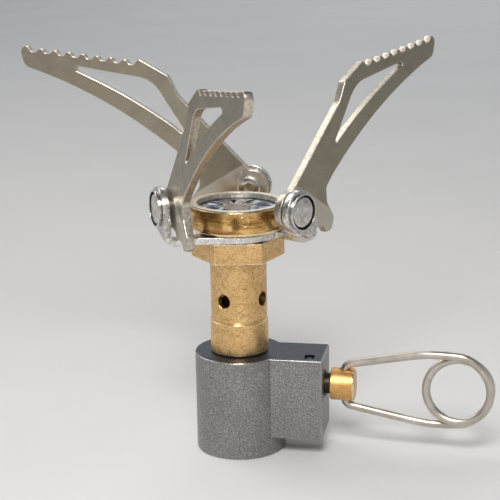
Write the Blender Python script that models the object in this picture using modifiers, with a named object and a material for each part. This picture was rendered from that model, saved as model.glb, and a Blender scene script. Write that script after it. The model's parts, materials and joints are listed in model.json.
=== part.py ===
"""Canister-top camping stove with three folding pot supports and a wire-handled needle valve.

The stove stands on the lower face of its valve body, with its axis on +Z and its valve
handle towards +X. The three pot supports are flat plates that stand beside the burner, each
in a plane at right angles to the radius through its rivet. They are modelled unfolded.
"""

import math

import bmesh
import bpy
from mathutils import Matrix, Vector

MM = 0.001

# Inside the burner and the tube.
JET_BORE = 0.7 * MM
JET_BARREL_RADIUS = 1.5 * MM
JET_SHOULDER_Z = 22.4 * MM
JET_HEXAGON_Z = (15.2 * MM, 18.6 * MM)
JET_ACROSS_FLATS = 5.4 * MM

# Valve body: an upright cylinder with a square block that carries the spindle.
BODY_RADIUS = 7.8 * MM
BODY_HEIGHT = 17.5 * MM
BODY_CHAMFER = 0.3 * MM
BLOCK_HALF_WIDTH = 4.8 * MM
BLOCK_END_X = 15.0 * MM
BLOCK_BOTTOM_Z = 3.2 * MM
SOCKET_RADIUS = 5.5 * MM
SOCKET_DEPTH = 7.2 * MM
TUBE_SEAT_RADIUS = 4.1 * MM
TUBE_SEAT_Z = 14.4 * MM
JET_HOLE_RADIUS = 2.6 * MM
JET_HOLE_Z = 13.3 * MM
PASSAGE_RADIUS = 0.5 * MM

# Inlet pin and seal that open and close on the canister.
PIN_RADIUS = 1.2 * MM
PIN_THREAD_RADIUS = 1.6 * MM
PIN_TIP_Z = 4.8 * MM
PIN_TOP_Z = 9.6 * MM
SEAL_INNER_RADIUS = 1.9 * MM
SEAL_OUTER_RADIUS = 4.7 * MM
SEAL_THICKNESS = 0.9 * MM

# Spindle, its seal and the cross pin that keeps it in.
SPINDLE_Z = 12.0 * MM
SPINDLE_BORE = 2.5 * MM
SPINDLE_LAND = 2.4 * MM
SPINDLE_NECK = 1.8 * MM
NEEDLE_TIP_X = 2.2 * MM
NEEDLE_CHAMBER_X = 1.3 * MM
BORE_INNER_X = 4.4 * MM
GRIP_START_X = 16.0 * MM
GRIP_END_X = 20.15 * MM
GRIP_RADIUS = 2.8 * MM
GRIP_FLAT = 2.7 * MM
KEEPER_X = 12.6 * MM
KEEPER_Y = -2.5 * MM
KEEPER_RADIUS = 0.5 * MM
KEEPER_BOTTOM_Z = 8.8 * MM
LAND_START_X = 5.3 * MM
SEAL_GROOVE_START_X = 8.7 * MM
SEAL_GROOVE_END_X = 10.0 * MM
LAND_END_X = 10.9 * MM
SEAL_GROOVE_RADIUS = 1.6 * MM
NEEDLE_RADIUS = 1.0 * MM

# Wire handle: two legs and a loop of one and a half turns.
WIRE_RADIUS = 0.74 * MM
HINGE_X = 18.4 * MM
LOOP_RADIUS = 5.5 * MM
LOOP_CENTRE = 19.47 * MM
LOOP_PITCH = 1.56 * MM
LOOP_TURNS = 1.5
LEG_START_HEIGHT = 1.2 * MM
LEG_BEND_RADIUS = 1.5 * MM
LEG_BEND_HEIGHT = 3.6 * MM
LEG_SHOULDER = 13.7 * MM
LEG_SHOULDER_RADIUS = 14.0 * MM
LEG_HEIGHT = 6.6 * MM
HANDLE_YAW = math.radians(-2.4)

# Mixing tube with its hexagon collar.
TUBE_LOWER_RADIUS = 5.0 * MM
TUBE_UPPER_RADIUS = 4.85 * MM
TUBE_BORE = 3.9 * MM
TUBE_SPIGOT_BORE = 3.2 * MM
GROOVE_Z = 23.4 * MM
AIR_HOLE_Z = 27.3 * MM
AIR_HOLE_RADIUS = 1.2 * MM
AIR_HOLE_AZIMUTH = math.radians(-21)
COLLAR_BOTTOM_Z = 34.4 * MM
COLLAR_CHAMFER = 0.3 * MM
COLLAR_ACROSS_FLATS = 13.8 * MM
COLLAR_AZIMUTH = math.radians(-78.4)
NECK_RADIUS = 4.4 * MM
NECK_TOP_Z = 40.9 * MM

# Pot supports, their rivets and the plate that carries them.
PIVOT_Z = 43.9 * MM
PIVOT_AZIMUTHS = [math.radians(-30 + 120 * k) for k in range(3)]
ARM_INNER = 10.9 * MM
ARM_THICKNESS = 1.4 * MM
BASE_TOP_Z = PIVOT_Z - 4.6 * MM
BASE_THICKNESS = 1.2 * MM
BASE_HUB_RADIUS = 7.1 * MM
EAR_INNER = 12.8 * MM
EAR_RADIUS = 3.65 * MM
BEND_START = 9.4 * MM
FOOT_BACK = 1.9 * MM
FOOT_FRONT = 4.1 * MM
RIVET_RADIUS = 1.5 * MM
RIVET_HOLE = 1.58 * MM
RIVET_HEAD_RADIUS = 3.1 * MM
RIVET_HEAD_THICKNESS = 0.6 * MM
RIVET_TAIL_RADIUS = 2.05 * MM
WASHER_RADIUS = 2.3 * MM
TOOTH_COUNT = 9
TOOTH_PITCH = 2.545 * MM

# Burner head.
CUP_RADIUS = 8.0 * MM
CUP_BOTTOM_Z = BASE_TOP_Z + 0.1 * MM
CUP_RIM_Z = PIVOT_Z - 0.25 * MM
CUP_WALL_INNER = 7.25 * MM
CUP_LEDGE_RADIUS = 6.5 * MM
PLATE_Z = 42.4 * MM
PLATE_THICKNESS = 0.5 * MM
PLATE_RADIUS = 7.15 * MM
BAND_FLANGE_RADIUS = 7.9 * MM
BAND_TOP_Z = PIVOT_Z
SLOT_COUNT = 8
SLOT_OUTER = 6.0 * MM
SLOT_INNER = 2.4 * MM
SLOT_HALF_WIDTH = 0.75 * MM

STEPS_LARGE = 48
STEPS_SMALL = 28

MATERIALS = {
    "body_anodised": ((0.13, 0.13, 0.135, 1.0), 0.55, 0.7),
    "brass": ((0.62, 0.42, 0.16, 1.0), 0.35, 1.0),
    "brass_matte": ((0.50, 0.38, 0.20, 1.0), 0.5, 1.0),
    "support_steel": ((0.55, 0.50, 0.44, 1.0), 0.38, 1.0),
    "bracket_steel": ((0.66, 0.65, 0.63, 1.0), 0.3, 1.0),
    "wire_steel": ((0.68, 0.66, 0.62, 1.0), 0.25, 1.0),
    "burner_steel": ((0.36, 0.38, 0.42, 1.0), 0.35, 1.0),
    "rubber": ((0.02, 0.02, 0.02, 1.0), 0.7, 0.0),
    "sintered": ((0.45, 0.36, 0.26, 1.0), 0.8, 1.0),
}


def clear_scene():
    for obj in list(bpy.data.objects):
        bpy.data.objects.remove(obj, do_unlink=True)
    for collection in list(bpy.data.collections):
        bpy.data.collections.remove(collection)


def make_collection(name, hidden=False):
    collection = bpy.data.collections.new(name)
    collection.hide_render = hidden
    bpy.context.scene.collection.children.link(collection)
    return collection


def make_material(name):
    colour, roughness, metallic = MATERIALS[name]
    material = bpy.data.materials.new(name)
    material.use_nodes = True
    shader = material.node_tree.nodes["Principled BSDF"]
    shader.inputs["Base Color"].default_value = colour
    shader.inputs["Roughness"].default_value = roughness
    shader.inputs["Metallic"].default_value = metallic
    return material


clear_scene()
STOVE = make_collection("camping_stove")
CUTTERS = make_collection("cutters", hidden=True)
PAINT = {name: make_material(name) for name in MATERIALS}


def polar(radius, azimuth, z=0.0):
    return Vector((radius * math.cos(azimuth), radius * math.sin(azimuth), z))


def add_object(name, mesh, material=None):
    """A part, or a cutter when it has no material."""
    obj = bpy.data.objects.new(name, mesh)
    if material:
        STOVE.objects.link(obj)
        mesh.materials.clear()
        mesh.materials.append(PAINT[material])
    else:
        CUTTERS.objects.link(obj)
        obj.hide_render = True
        obj.display_type = "WIRE"
    return obj


def turned(name, profile, material=None, steps=STEPS_SMALL, closed=True):
    """A turned piece about its own Z. The profile runs down the outer side and up the inner one."""
    mesh = bpy.data.meshes.new(name)
    edges = [(i, i + 1) for i in range(len(profile) - 1)]
    if closed:
        edges.append((len(profile) - 1, 0))
    mesh.from_pydata([(radius, 0.0, z) for radius, z in profile], edges, [])
    obj = add_object(name, mesh, material)
    screw = obj.modifiers.new("turn", "SCREW")
    screw.axis = "Z"
    screw.steps = steps
    screw.render_steps = steps
    screw.use_smooth_shade = True
    screw.use_merge_vertices = True
    screw.merge_threshold = 0.00001
    return obj


def solid_turned(name, profile, material=None, steps=STEPS_SMALL):
    """A turned piece with no bore: both ends of its profile lie on the axis."""
    return turned(name, [(0.0, profile[0][1])] + profile + [(0.0, profile[-1][1])],
                  material, steps, closed=False)


def cylinder_cutter(name, radius, start, end, steps=24):
    """A cylinder from one point to another."""
    start, end = Vector(start), Vector(end)
    shape = bmesh.new()
    bmesh.ops.create_cone(shape, cap_ends=True, segments=steps, radius1=radius, radius2=radius,
                          depth=(end - start).length)
    mesh = bpy.data.meshes.new(name)
    shape.to_mesh(mesh)
    shape.free()
    obj = add_object(name, mesh)
    obj.location = (start + end) / 2
    obj.rotation_euler = (end - start).to_track_quat("Z", "Y").to_euler()
    return obj


def box_mesh(name, low, high):
    low, high = Vector(low), Vector(high)
    shape = bmesh.new()
    bmesh.ops.create_cube(shape, size=1.0)
    bmesh.ops.scale(shape, vec=high - low, verts=shape.verts)
    bmesh.ops.translate(shape, vec=(low + high) / 2, verts=shape.verts)
    mesh = bpy.data.meshes.new(name)
    shape.to_mesh(mesh)
    shape.free()
    return mesh


def hexagon(name, across_flats, bottom, top):
    """A hexagonal bar about Z."""
    shape = bmesh.new()
    radius = across_flats / 2 / math.cos(math.pi / 6)
    bmesh.ops.create_cone(shape, cap_ends=True, segments=6, radius1=radius, radius2=radius,
                          depth=top - bottom)
    bmesh.ops.translate(shape, vec=(0, 0, (top + bottom) / 2), verts=shape.verts)
    mesh = bpy.data.meshes.new(name)
    shape.to_mesh(mesh)
    shape.free()
    return add_object(name, mesh)


def boolean(obj, other, operation="DIFFERENCE"):
    modifier = obj.modifiers.new(operation.lower(), "BOOLEAN")
    modifier.operation = operation
    modifier.solver = "EXACT"
    modifier.object = other
    return obj


def rounded(corners, step=math.radians(20)):
    """Outline points through corners (x, y, radius), each rounded with a tangent arc."""
    points = []
    for i, (x, y, radius) in enumerate(corners):
        here = Vector((x, y))
        if not radius:
            points.append(here)
            continue
        before = (Vector(corners[i - 1][:2]) - here).normalized()
        after = (Vector(corners[(i + 1) % len(corners)][:2]) - here).normalized()
        half = before.angle(after) / 2
        centre = here + (before + after).normalized() * radius / math.sin(half)
        first = here + before * radius / math.tan(half) - centre
        last = here + after * radius / math.tan(half) - centre
        sweep = first.angle_signed(last)
        count = max(2, math.ceil(abs(sweep) / step) + 1)
        for j in range(count):
            turn = Matrix.Rotation(-sweep * j / (count - 1), 2)
            points.append(centre + turn @ first)
    return points


def arc(centre, radius, start, end, count):
    """Points on an arc between two angles, both ends included."""
    return [
        Vector(centre) + polar(radius, start + (end - start) * i / (count - 1)).to_2d()
        for i in range(count)
    ]


def bulged(start, end, rise, count):
    """Points inside a shallow arc that rises to the left of the way from start to end."""
    start, end = Vector(start), Vector(end)
    side = Vector((start.y - end.y, end.x - start.x)).normalized()
    return [
        start.lerp(end, t) + side * rise * 4 * t * (1 - t)
        for t in [i / (count + 1) for i in range(1, count + 1)]
    ]


def sheet(name, outlines, thickness, material=None):
    """A flat plate in its own XY plane, centred on it: the first outline less the others."""
    curve = bpy.data.curves.new(name, "CURVE")
    curve.dimensions = "2D"
    curve.fill_mode = "BOTH"
    curve.extrude = thickness / 2
    for outline in outlines:
        spline = curve.splines.new("POLY")
        spline.points.add(len(outline) - 1)
        for point, place in zip(spline.points, outline):
            point.co = (place[0], place[1], 0.0, 1.0)
        spline.use_cyclic_u = True
    flat = bpy.data.objects.new(name + "_outline", curve)
    bpy.context.scene.collection.objects.link(flat)
    bpy.context.view_layer.update()
    graph = bpy.context.evaluated_depsgraph_get()
    mesh = bpy.data.meshes.new_from_object(flat.evaluated_get(graph))
    bpy.data.objects.remove(flat, do_unlink=True)
    shape = bmesh.new()
    shape.from_mesh(mesh)
    bmesh.ops.remove_doubles(shape, verts=shape.verts, dist=0.000001)
    bmesh.ops.recalc_face_normals(shape, faces=shape.faces)
    shape.to_mesh(mesh)
    shape.free()
    return add_object(name, mesh, material)


def circle(radius, centre=(0.0, 0.0), count=32):
    return arc(centre, radius, 0, 2 * math.pi * (count - 1) / count, count)


def face_outwards(obj, azimuth, distance, z=PIVOT_Z):
    """Stands a piece so that its X runs along the tangent, its Y up and its Z outwards."""
    obj.rotation_euler = (math.pi / 2, 0, azimuth + math.pi / 2)
    obj.location = polar(distance, azimuth, z)
    return obj


def face_along_x(obj, x=0.0, z=SPINDLE_Z):
    """Lays a turned piece down so that its Z runs along +X."""
    obj.rotation_euler = (0, math.pi / 2, 0)
    obj.location = (x, 0, z)
    return obj


def make_valve_body():
    body = solid_turned("valve_body", [
        (BODY_RADIUS - BODY_CHAMFER, BODY_HEIGHT),
        (BODY_RADIUS, BODY_HEIGHT - BODY_CHAMFER),
        (BODY_RADIUS, BODY_CHAMFER),
        (BODY_RADIUS - BODY_CHAMFER, 0.0),
    ], "body_anodised", STEPS_LARGE)
    block = add_object("block_shape", box_mesh(
        "block_shape", (0, -BLOCK_HALF_WIDTH, BLOCK_BOTTOM_Z),
        (BLOCK_END_X, BLOCK_HALF_WIDTH, BODY_HEIGHT)))
    edges = block.modifiers.new("edges", "BEVEL")
    edges.width = BODY_CHAMFER
    edges.segments = 1
    boolean(body, block, "UNION")
    boolean(body, solid_turned("socket_cut", [
        (SOCKET_RADIUS, SOCKET_DEPTH),
        (SOCKET_RADIUS, 0.4 * MM),
        (SOCKET_RADIUS + 0.9 * MM, -0.5 * MM),
    ], steps=48))
    boolean(body, cylinder_cutter("pin_hole", PIN_THREAD_RADIUS + 0.05 * MM,
                                  (0, 0, 5 * MM), (0, 0, PIN_TOP_Z + 0.2 * MM)))
    boolean(body, cylinder_cutter("inlet_passage", PASSAGE_RADIUS,
                                  (0, 0, PIN_TOP_Z), (0, 0, SPINDLE_Z), 12))
    boolean(body, cylinder_cutter("needle_seat", PASSAGE_RADIUS,
                                  (-0.4 * MM, 0, SPINDLE_Z),
                                  (NEEDLE_CHAMBER_X + 0.3 * MM, 0, SPINDLE_Z), 12))
    boolean(body, cylinder_cutter("needle_chamber", 1.1 * MM, (NEEDLE_CHAMBER_X, 0, SPINDLE_Z),
                                  (BORE_INNER_X + 0.3 * MM, 0, SPINDLE_Z)))
    boolean(body, cylinder_cutter("jet_passage", PASSAGE_RADIUS, (1.9 * MM, 0, SPINDLE_Z),
                                  (1.9 * MM, 0, JET_HOLE_Z + 0.3 * MM), 12))
    boolean(body, cylinder_cutter("jet_hole", JET_HOLE_RADIUS, (0, 0, JET_HOLE_Z),
                                  (0, 0, TUBE_SEAT_Z + 0.5 * MM), 32))
    boolean(body, cylinder_cutter("tube_seat", TUBE_SEAT_RADIUS, (0, 0, TUBE_SEAT_Z),
                                  (0, 0, BODY_HEIGHT + MM), 48))
    boolean(body, cylinder_cutter("spindle_bore", SPINDLE_BORE, (BORE_INNER_X, 0, SPINDLE_Z),
                                  (BLOCK_END_X + MM, 0, SPINDLE_Z), 36))
    boolean(body, cylinder_cutter("keeper_hole", KEEPER_RADIUS + 0.05 * MM,
                                  (KEEPER_X, KEEPER_Y, KEEPER_BOTTOM_Z - 0.2 * MM),
                                  (KEEPER_X, KEEPER_Y, BODY_HEIGHT + MM), 16))
    boolean(body, add_object("keeper_slot", box_mesh(
        "keeper_slot",
        (KEEPER_X - 0.65 * MM, KEEPER_Y - 0.95 * MM, BODY_HEIGHT - 0.6 * MM),
        (KEEPER_X + 0.65 * MM, KEEPER_Y + 0.95 * MM, BODY_HEIGHT + MM))))
    return body


def make_inlet_parts():
    turned("inlet_pin", [
        (PIN_THREAD_RADIUS, PIN_TOP_Z),
        (PIN_THREAD_RADIUS, SOCKET_DEPTH + 0.1 * MM),
        (PIN_RADIUS, SOCKET_DEPTH - 0.1 * MM),
        (PIN_RADIUS, PIN_TIP_Z + 0.3 * MM),
        (PIN_RADIUS - 0.3 * MM, PIN_TIP_Z),
        (0.4 * MM, PIN_TIP_Z),
        (0.4 * MM, PIN_TOP_Z),
    ], "brass", 24)
    turned("inlet_seal", [
        (SEAL_OUTER_RADIUS - 0.2 * MM, SOCKET_DEPTH - 0.05 * MM),
        (SEAL_OUTER_RADIUS, SOCKET_DEPTH - 0.25 * MM),
        (SEAL_OUTER_RADIUS, SOCKET_DEPTH - SEAL_THICKNESS + 0.2 * MM),
        (SEAL_OUTER_RADIUS - 0.2 * MM, SOCKET_DEPTH - SEAL_THICKNESS),
        (SEAL_INNER_RADIUS, SOCKET_DEPTH - SEAL_THICKNESS),
        (SEAL_INNER_RADIUS, SOCKET_DEPTH - 0.05 * MM),
    ], "rubber", STEPS_SMALL)


def make_jet_and_filter():
    turned("gas_filter", [
        (JET_HOLE_RADIUS - 0.08 * MM, JET_HOLE_Z + 0.5 * MM),
        (JET_HOLE_RADIUS - 0.08 * MM, JET_HOLE_Z + 0.05 * MM),
        (0.3 * MM, JET_HOLE_Z + 0.05 * MM),
        (0.3 * MM, JET_HOLE_Z + 0.5 * MM),
    ], "sintered", 24)
    thread = JET_HOLE_RADIUS - 0.08 * MM
    hexagon_bottom, hexagon_top = JET_HEXAGON_Z
    jet = solid_turned("jet", [
        (JET_BORE, JET_SHOULDER_Z + 1.2 * MM),
        (JET_BARREL_RADIUS, JET_SHOULDER_Z),
        (JET_BARREL_RADIUS, hexagon_top - 0.6 * MM),
        (thread, hexagon_top - 0.6 * MM),
        (thread, JET_HOLE_Z + 0.55 * MM),
    ], "brass", 24)
    boolean(jet, hexagon("jet_head", JET_ACROSS_FLATS, hexagon_bottom, hexagon_top), "UNION")
    boolean(jet, cylinder_cutter("jet_bore", JET_BORE, (0, 0, JET_HOLE_Z - 0.3 * MM),
                                 (0, 0, JET_SHOULDER_Z), 16))
    boolean(jet, cylinder_cutter("jet_orifice", 0.16 * MM, (0, 0, JET_SHOULDER_Z - 0.4 * MM),
                                 (0, 0, JET_SHOULDER_Z + 1.6 * MM), 12))


def make_mixing_tube():
    collar_top = BASE_TOP_Z - BASE_THICKNESS - 0.05 * MM
    tube = solid_turned("mixing_tube", [
        (NECK_RADIUS - 0.3 * MM, NECK_TOP_Z),
        (NECK_RADIUS, NECK_TOP_Z - 0.3 * MM),
        (NECK_RADIUS, COLLAR_BOTTOM_Z + 1.2 * MM),
        (TUBE_UPPER_RADIUS, COLLAR_BOTTOM_Z + 1.2 * MM),
        (TUBE_UPPER_RADIUS, GROOVE_Z + 0.25 * MM),
        (TUBE_UPPER_RADIUS - 0.25 * MM, GROOVE_Z + 0.15 * MM),
        (TUBE_UPPER_RADIUS - 0.25 * MM, GROOVE_Z),
        (TUBE_LOWER_RADIUS, GROOVE_Z - 0.1 * MM),
        (TUBE_LOWER_RADIUS, BODY_HEIGHT + 0.35 * MM),
        (TUBE_LOWER_RADIUS - 0.3 * MM, BODY_HEIGHT + 0.05 * MM),
        (TUBE_SEAT_RADIUS - 0.06 * MM, BODY_HEIGHT + 0.05 * MM),
        (TUBE_SEAT_RADIUS - 0.06 * MM, TUBE_SEAT_Z + 0.05 * MM),
    ], "brass_matte", STEPS_LARGE)
    corner = COLLAR_ACROSS_FLATS / 2 / math.cos(math.pi / 6)
    collar = solid_turned("collar", [
        (corner, collar_top),
        (corner, COLLAR_BOTTOM_Z + COLLAR_CHAMFER),
        (corner - COLLAR_CHAMFER, COLLAR_BOTTOM_Z),
    ], steps=6)
    collar.rotation_euler = (0, 0, COLLAR_AZIMUTH + math.pi / 6)
    boolean(tube, collar, "UNION")
    boolean(tube, solid_turned("tube_bore", [
        (TUBE_BORE, NECK_TOP_Z + MM),
        (TUBE_BORE, BODY_HEIGHT + 2.7 * MM),
        (TUBE_SPIGOT_BORE, BODY_HEIGHT + 2 * MM),
        (TUBE_SPIGOT_BORE, TUBE_SEAT_Z - MM),
    ], steps=STEPS_LARGE))
    for side in range(4):
        azimuth = AIR_HOLE_AZIMUTH + side * math.pi / 2
        boolean(tube, cylinder_cutter(
            f"air_hole_{side + 1}", AIR_HOLE_RADIUS, polar(2 * MM, azimuth, AIR_HOLE_Z),
            polar(7 * MM, azimuth, AIR_HOLE_Z), 16))


def make_burner():
    cup = turned("burner_cup", [
        (CUP_WALL_INNER + 0.15 * MM, CUP_RIM_Z),
        (CUP_RADIUS - 0.15 * MM, CUP_RIM_Z),
        (CUP_RADIUS, CUP_RIM_Z - 0.2 * MM),
        (CUP_RADIUS, CUP_BOTTOM_Z + 0.5 * MM),
        (CUP_RADIUS - 0.5 * MM, CUP_BOTTOM_Z),
        (NECK_RADIUS + 0.06 * MM, CUP_BOTTOM_Z),
        (NECK_RADIUS + 0.06 * MM, CUP_BOTTOM_Z + 1.5 * MM),
        (CUP_LEDGE_RADIUS, CUP_BOTTOM_Z + 1.5 * MM),
        (CUP_LEDGE_RADIUS, PLATE_Z - 0.05 * MM),
        (CUP_WALL_INNER, PLATE_Z - 0.05 * MM),
        (CUP_WALL_INNER, CUP_RIM_Z - 0.15 * MM),
    ], "brass", STEPS_LARGE)
    dimple_azimuth = math.radians(-71)
    boolean(cup, cylinder_cutter(
        "cup_dimple", 1.0 * MM, polar(CUP_RADIUS - 0.25 * MM, dimple_azimuth, PIVOT_Z - 1.7 * MM),
        polar(CUP_RADIUS + MM, dimple_azimuth, PIVOT_Z - 1.7 * MM), 20))
    gauze = CUP_LEDGE_RADIUS - 0.1 * MM
    screen = sheet("burner_screen", [circle(gauze, count=40)] + [
        circle(0.7 * MM, polar(radius * MM, turn * 2 * math.pi / count).to_2d(), 8)
        for radius, count in ((1.9, 5), (4.6, 11)) for turn in range(count)
    ], 0.3 * MM, "burner_steel")
    screen.location.z = CUP_BOTTOM_Z + 1.8 * MM
    middle = (SLOT_INNER + SLOT_OUTER) / 2
    slots = []
    for i in range(SLOT_COUNT):
        turn = Matrix.Rotation(2 * math.pi * (i + 0.5) / SLOT_COUNT, 2)
        slots.append([turn @ point for point in rounded([
            (SLOT_INNER, 0.0, 0.0),
            (middle, -SLOT_HALF_WIDTH * 0.7, 0.0),
            (SLOT_OUTER, -SLOT_HALF_WIDTH, 0.3 * MM),
            (SLOT_OUTER, SLOT_HALF_WIDTH, 0.3 * MM),
            (middle, SLOT_HALF_WIDTH * 0.7, 0.0),
        ], math.radians(45))])
    plate = sheet("burner_plate", [circle(PLATE_RADIUS, count=48)] + slots, PLATE_THICKNESS,
                  "burner_steel")
    plate.location.z = PLATE_Z + PLATE_THICKNESS / 2
    band_bottom = PLATE_Z + PLATE_THICKNESS + 0.05 * MM
    flange_bottom = CUP_RIM_Z + 0.05 * MM
    turned("plate_ring", [
        (BAND_FLANGE_RADIUS - 0.1 * MM, BAND_TOP_Z),
        (BAND_FLANGE_RADIUS, BAND_TOP_Z - 0.1 * MM),
        (BAND_FLANGE_RADIUS, flange_bottom),
        (PLATE_RADIUS, flange_bottom),
        (PLATE_RADIUS, band_bottom),
        (PLATE_RADIUS - 0.3 * MM, band_bottom),
        (PLATE_RADIUS - 0.3 * MM, BAND_TOP_Z - 0.1 * MM),
        (PLATE_RADIUS - 0.2 * MM, BAND_TOP_Z),
    ], "bracket_steel", STEPS_LARGE)


def make_support_base():
    """The bent steel plate: a hub under the burner and three feet that turn up into ears."""
    reach = EAR_INNER - 1.5 * MM
    knee = Vector((8.5 * MM, 4.6 * MM))
    tangent = math.atan2(knee.y, knee.x) + math.acos(BASE_HUB_RADIUS / knee.length)
    meeting = math.asin(FOOT_BACK / BASE_HUB_RADIUS) + 2 * math.pi / 3
    outline = []
    for azimuth in PIVOT_AZIMUTHS:
        turn = Matrix.Rotation(azimuth, 2)
        third = [Vector((reach, FOOT_BACK)), Vector((reach, FOOT_FRONT)), knee]
        third += arc((0, 0), BASE_HUB_RADIUS, tangent, meeting, 10)
        outline += [turn @ point for point in third]
    base = sheet("support_base", [outline, circle(NECK_RADIUS + 0.06 * MM, count=STEPS_LARGE)],
                 BASE_THICKNESS, "bracket_steel")
    base.location.z = BASE_TOP_Z - BASE_THICKNESS / 2
    bend = 0.6 * MM
    bottom = BASE_TOP_Z - BASE_THICKNESS - PIVOT_Z
    top = BASE_TOP_Z - PIVOT_Z
    outer = EAR_INNER + BASE_THICKNESS
    section = rounded([
        (BEND_START, bottom, 0.0),
        (outer, bottom, bend + BASE_THICKNESS),
        (outer, 5 * MM, 0.0),
        (EAR_INNER, 5 * MM, 0.0),
        (EAR_INNER, top, bend),
        (BEND_START, top, 0.0),
    ])
    ear = arc((0, 0), EAR_RADIUS, 0, math.radians(250), 18)
    ear += [
        Vector((FOOT_BACK, -4.3 * MM)),
        Vector((FOOT_BACK, -7 * MM)),
        Vector((FOOT_FRONT, -7 * MM)),
        Vector((FOOT_FRONT, -1.8 * MM)),
    ]
    for number, azimuth in enumerate(PIVOT_AZIMUTHS, 1):
        strip = sheet(f"ear_strip_{number}", [section], 12 * MM)
        strip.rotation_euler = (math.pi / 2, 0, azimuth)
        strip.location = (0, 0, PIVOT_Z)
        front = face_outwards(sheet(f"ear_front_{number}", [ear], 8 * MM), azimuth,
                              EAR_INNER + 0.4 * MM)
        boolean(strip, front, "INTERSECT")
        boolean(base, strip, "UNION")
        boolean(base, cylinder_cutter(
            f"ear_hole_{number}", RIVET_HOLE, polar(EAR_INNER - MM, azimuth, PIVOT_Z),
            polar(EAR_INNER + 3 * MM, azimuth, PIVOT_Z), 28))


def support_outline():
    """The plate of a pot support, from its pivot: X towards its tip, Y up."""
    def corner(x, y, radius):
        return (x * MM, y * MM, radius * MM)

    corners = [
        corner(4.4, -3.2, 0.4),
        corner(5.0, -4.1, 0.4),
        corner(8.1, -4.2, 0.5),
        corner(8.8, -5.4, 0.3),
        corner(10.1, -5.3, 0.5),
        corner(11.0, -2.6, 1.2),
        corner(9.1, -0.2, 1.0),
        corner(8.9, 2.4, 1.0),
    ]
    lower_start, lower_end = (9.9 * MM, 3.6 * MM), (39.6 * MM, 20.9 * MM)
    corners += [(p.x, p.y, 0.0) for p in bulged(lower_start, lower_end, 1.75 * MM, 10)]
    corners += [corner(40.4, 21.1, 0.8), corner(41.2, 24.2, 1.2)]
    for i in range(TOOTH_COUNT):
        x = 39.75 * MM - TOOTH_PITCH * i
        y = 24.85 * MM - 0.3 * MM * i
        corners.append((x, y, 0.25 * MM))
        if i < TOOTH_COUNT - 1:
            corners.append((x - 1.4 * MM, y - 1.0 * MM, 0.3 * MM))
    corners += [
        corner(14.1, 19.6, 1.2),
        corner(12.6, 16.3, 5.0),
        corner(-0.2, 3.1, 0.6),
    ]
    pivot_end = arc((0, 0), 3.35 * MM, math.radians(112), math.radians(300), 16)
    corners += [(p.x, p.y, 0.0) for p in pivot_end]
    return rounded(corners, math.radians(30))


def support_window():
    lower_start, lower_end = (11.8 * MM, 9.5 * MM), (30.0 * MM, 20.0 * MM)
    corners = [(10.2 * MM, 8.0 * MM, 0.4 * MM)]
    corners += [(p.x, p.y, 0.0) for p in bulged(lower_start, lower_end, 0.6 * MM, 5)]
    corners += [
        (31.0 * MM, 20.5 * MM, 0.2 * MM),
        (30.4 * MM, 21.15 * MM, 0.4 * MM),
        (17.3 * MM, 18.95 * MM, 3.5 * MM),
    ]
    return rounded(corners, math.radians(15))


def make_pot_supports():
    outlines = [support_outline(), support_window(), circle(RIVET_HOLE, count=28)]
    for number, azimuth in enumerate(PIVOT_AZIMUTHS, 1):
        plate = sheet(f"pot_support_{number}", outlines, ARM_THICKNESS, "support_steel")
        face_outwards(plate, azimuth, ARM_INNER + ARM_THICKNESS / 2)


def make_rivets_and_washers():
    ear_outer = EAR_INNER + BASE_THICKNESS
    for number, azimuth in enumerate(PIVOT_AZIMUTHS, 1):
        rivet = solid_turned(f"rivet_{number}", [
            (RIVET_HEAD_RADIUS - 0.2 * MM, ear_outer + 0.05 * MM + RIVET_HEAD_THICKNESS),
            (RIVET_HEAD_RADIUS, ear_outer + RIVET_HEAD_THICKNESS - 0.2 * MM),
            (RIVET_HEAD_RADIUS, ear_outer + 0.05 * MM),
            (RIVET_RADIUS, ear_outer + 0.05 * MM),
            (RIVET_RADIUS, ARM_INNER - 0.05 * MM),
            (RIVET_TAIL_RADIUS, ARM_INNER - 0.05 * MM),
            (RIVET_TAIL_RADIUS - 0.15 * MM, ARM_INNER - 0.5 * MM),
            (1.3 * MM, ARM_INNER - 0.6 * MM),
        ], "bracket_steel", 24)
        face_outwards(rivet, azimuth, 0.0)
        arm_outer = ARM_INNER + ARM_THICKNESS
        washer = turned(f"rivet_washer_{number}", [
            (WASHER_RADIUS, EAR_INNER - 0.05 * MM),
            (WASHER_RADIUS, arm_outer + 0.05 * MM),
            (RIVET_HOLE, arm_outer + 0.05 * MM),
            (RIVET_HOLE, EAR_INNER - 0.05 * MM),
        ], "bracket_steel", 24)
        face_outwards(washer, azimuth, 0.0)


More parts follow.
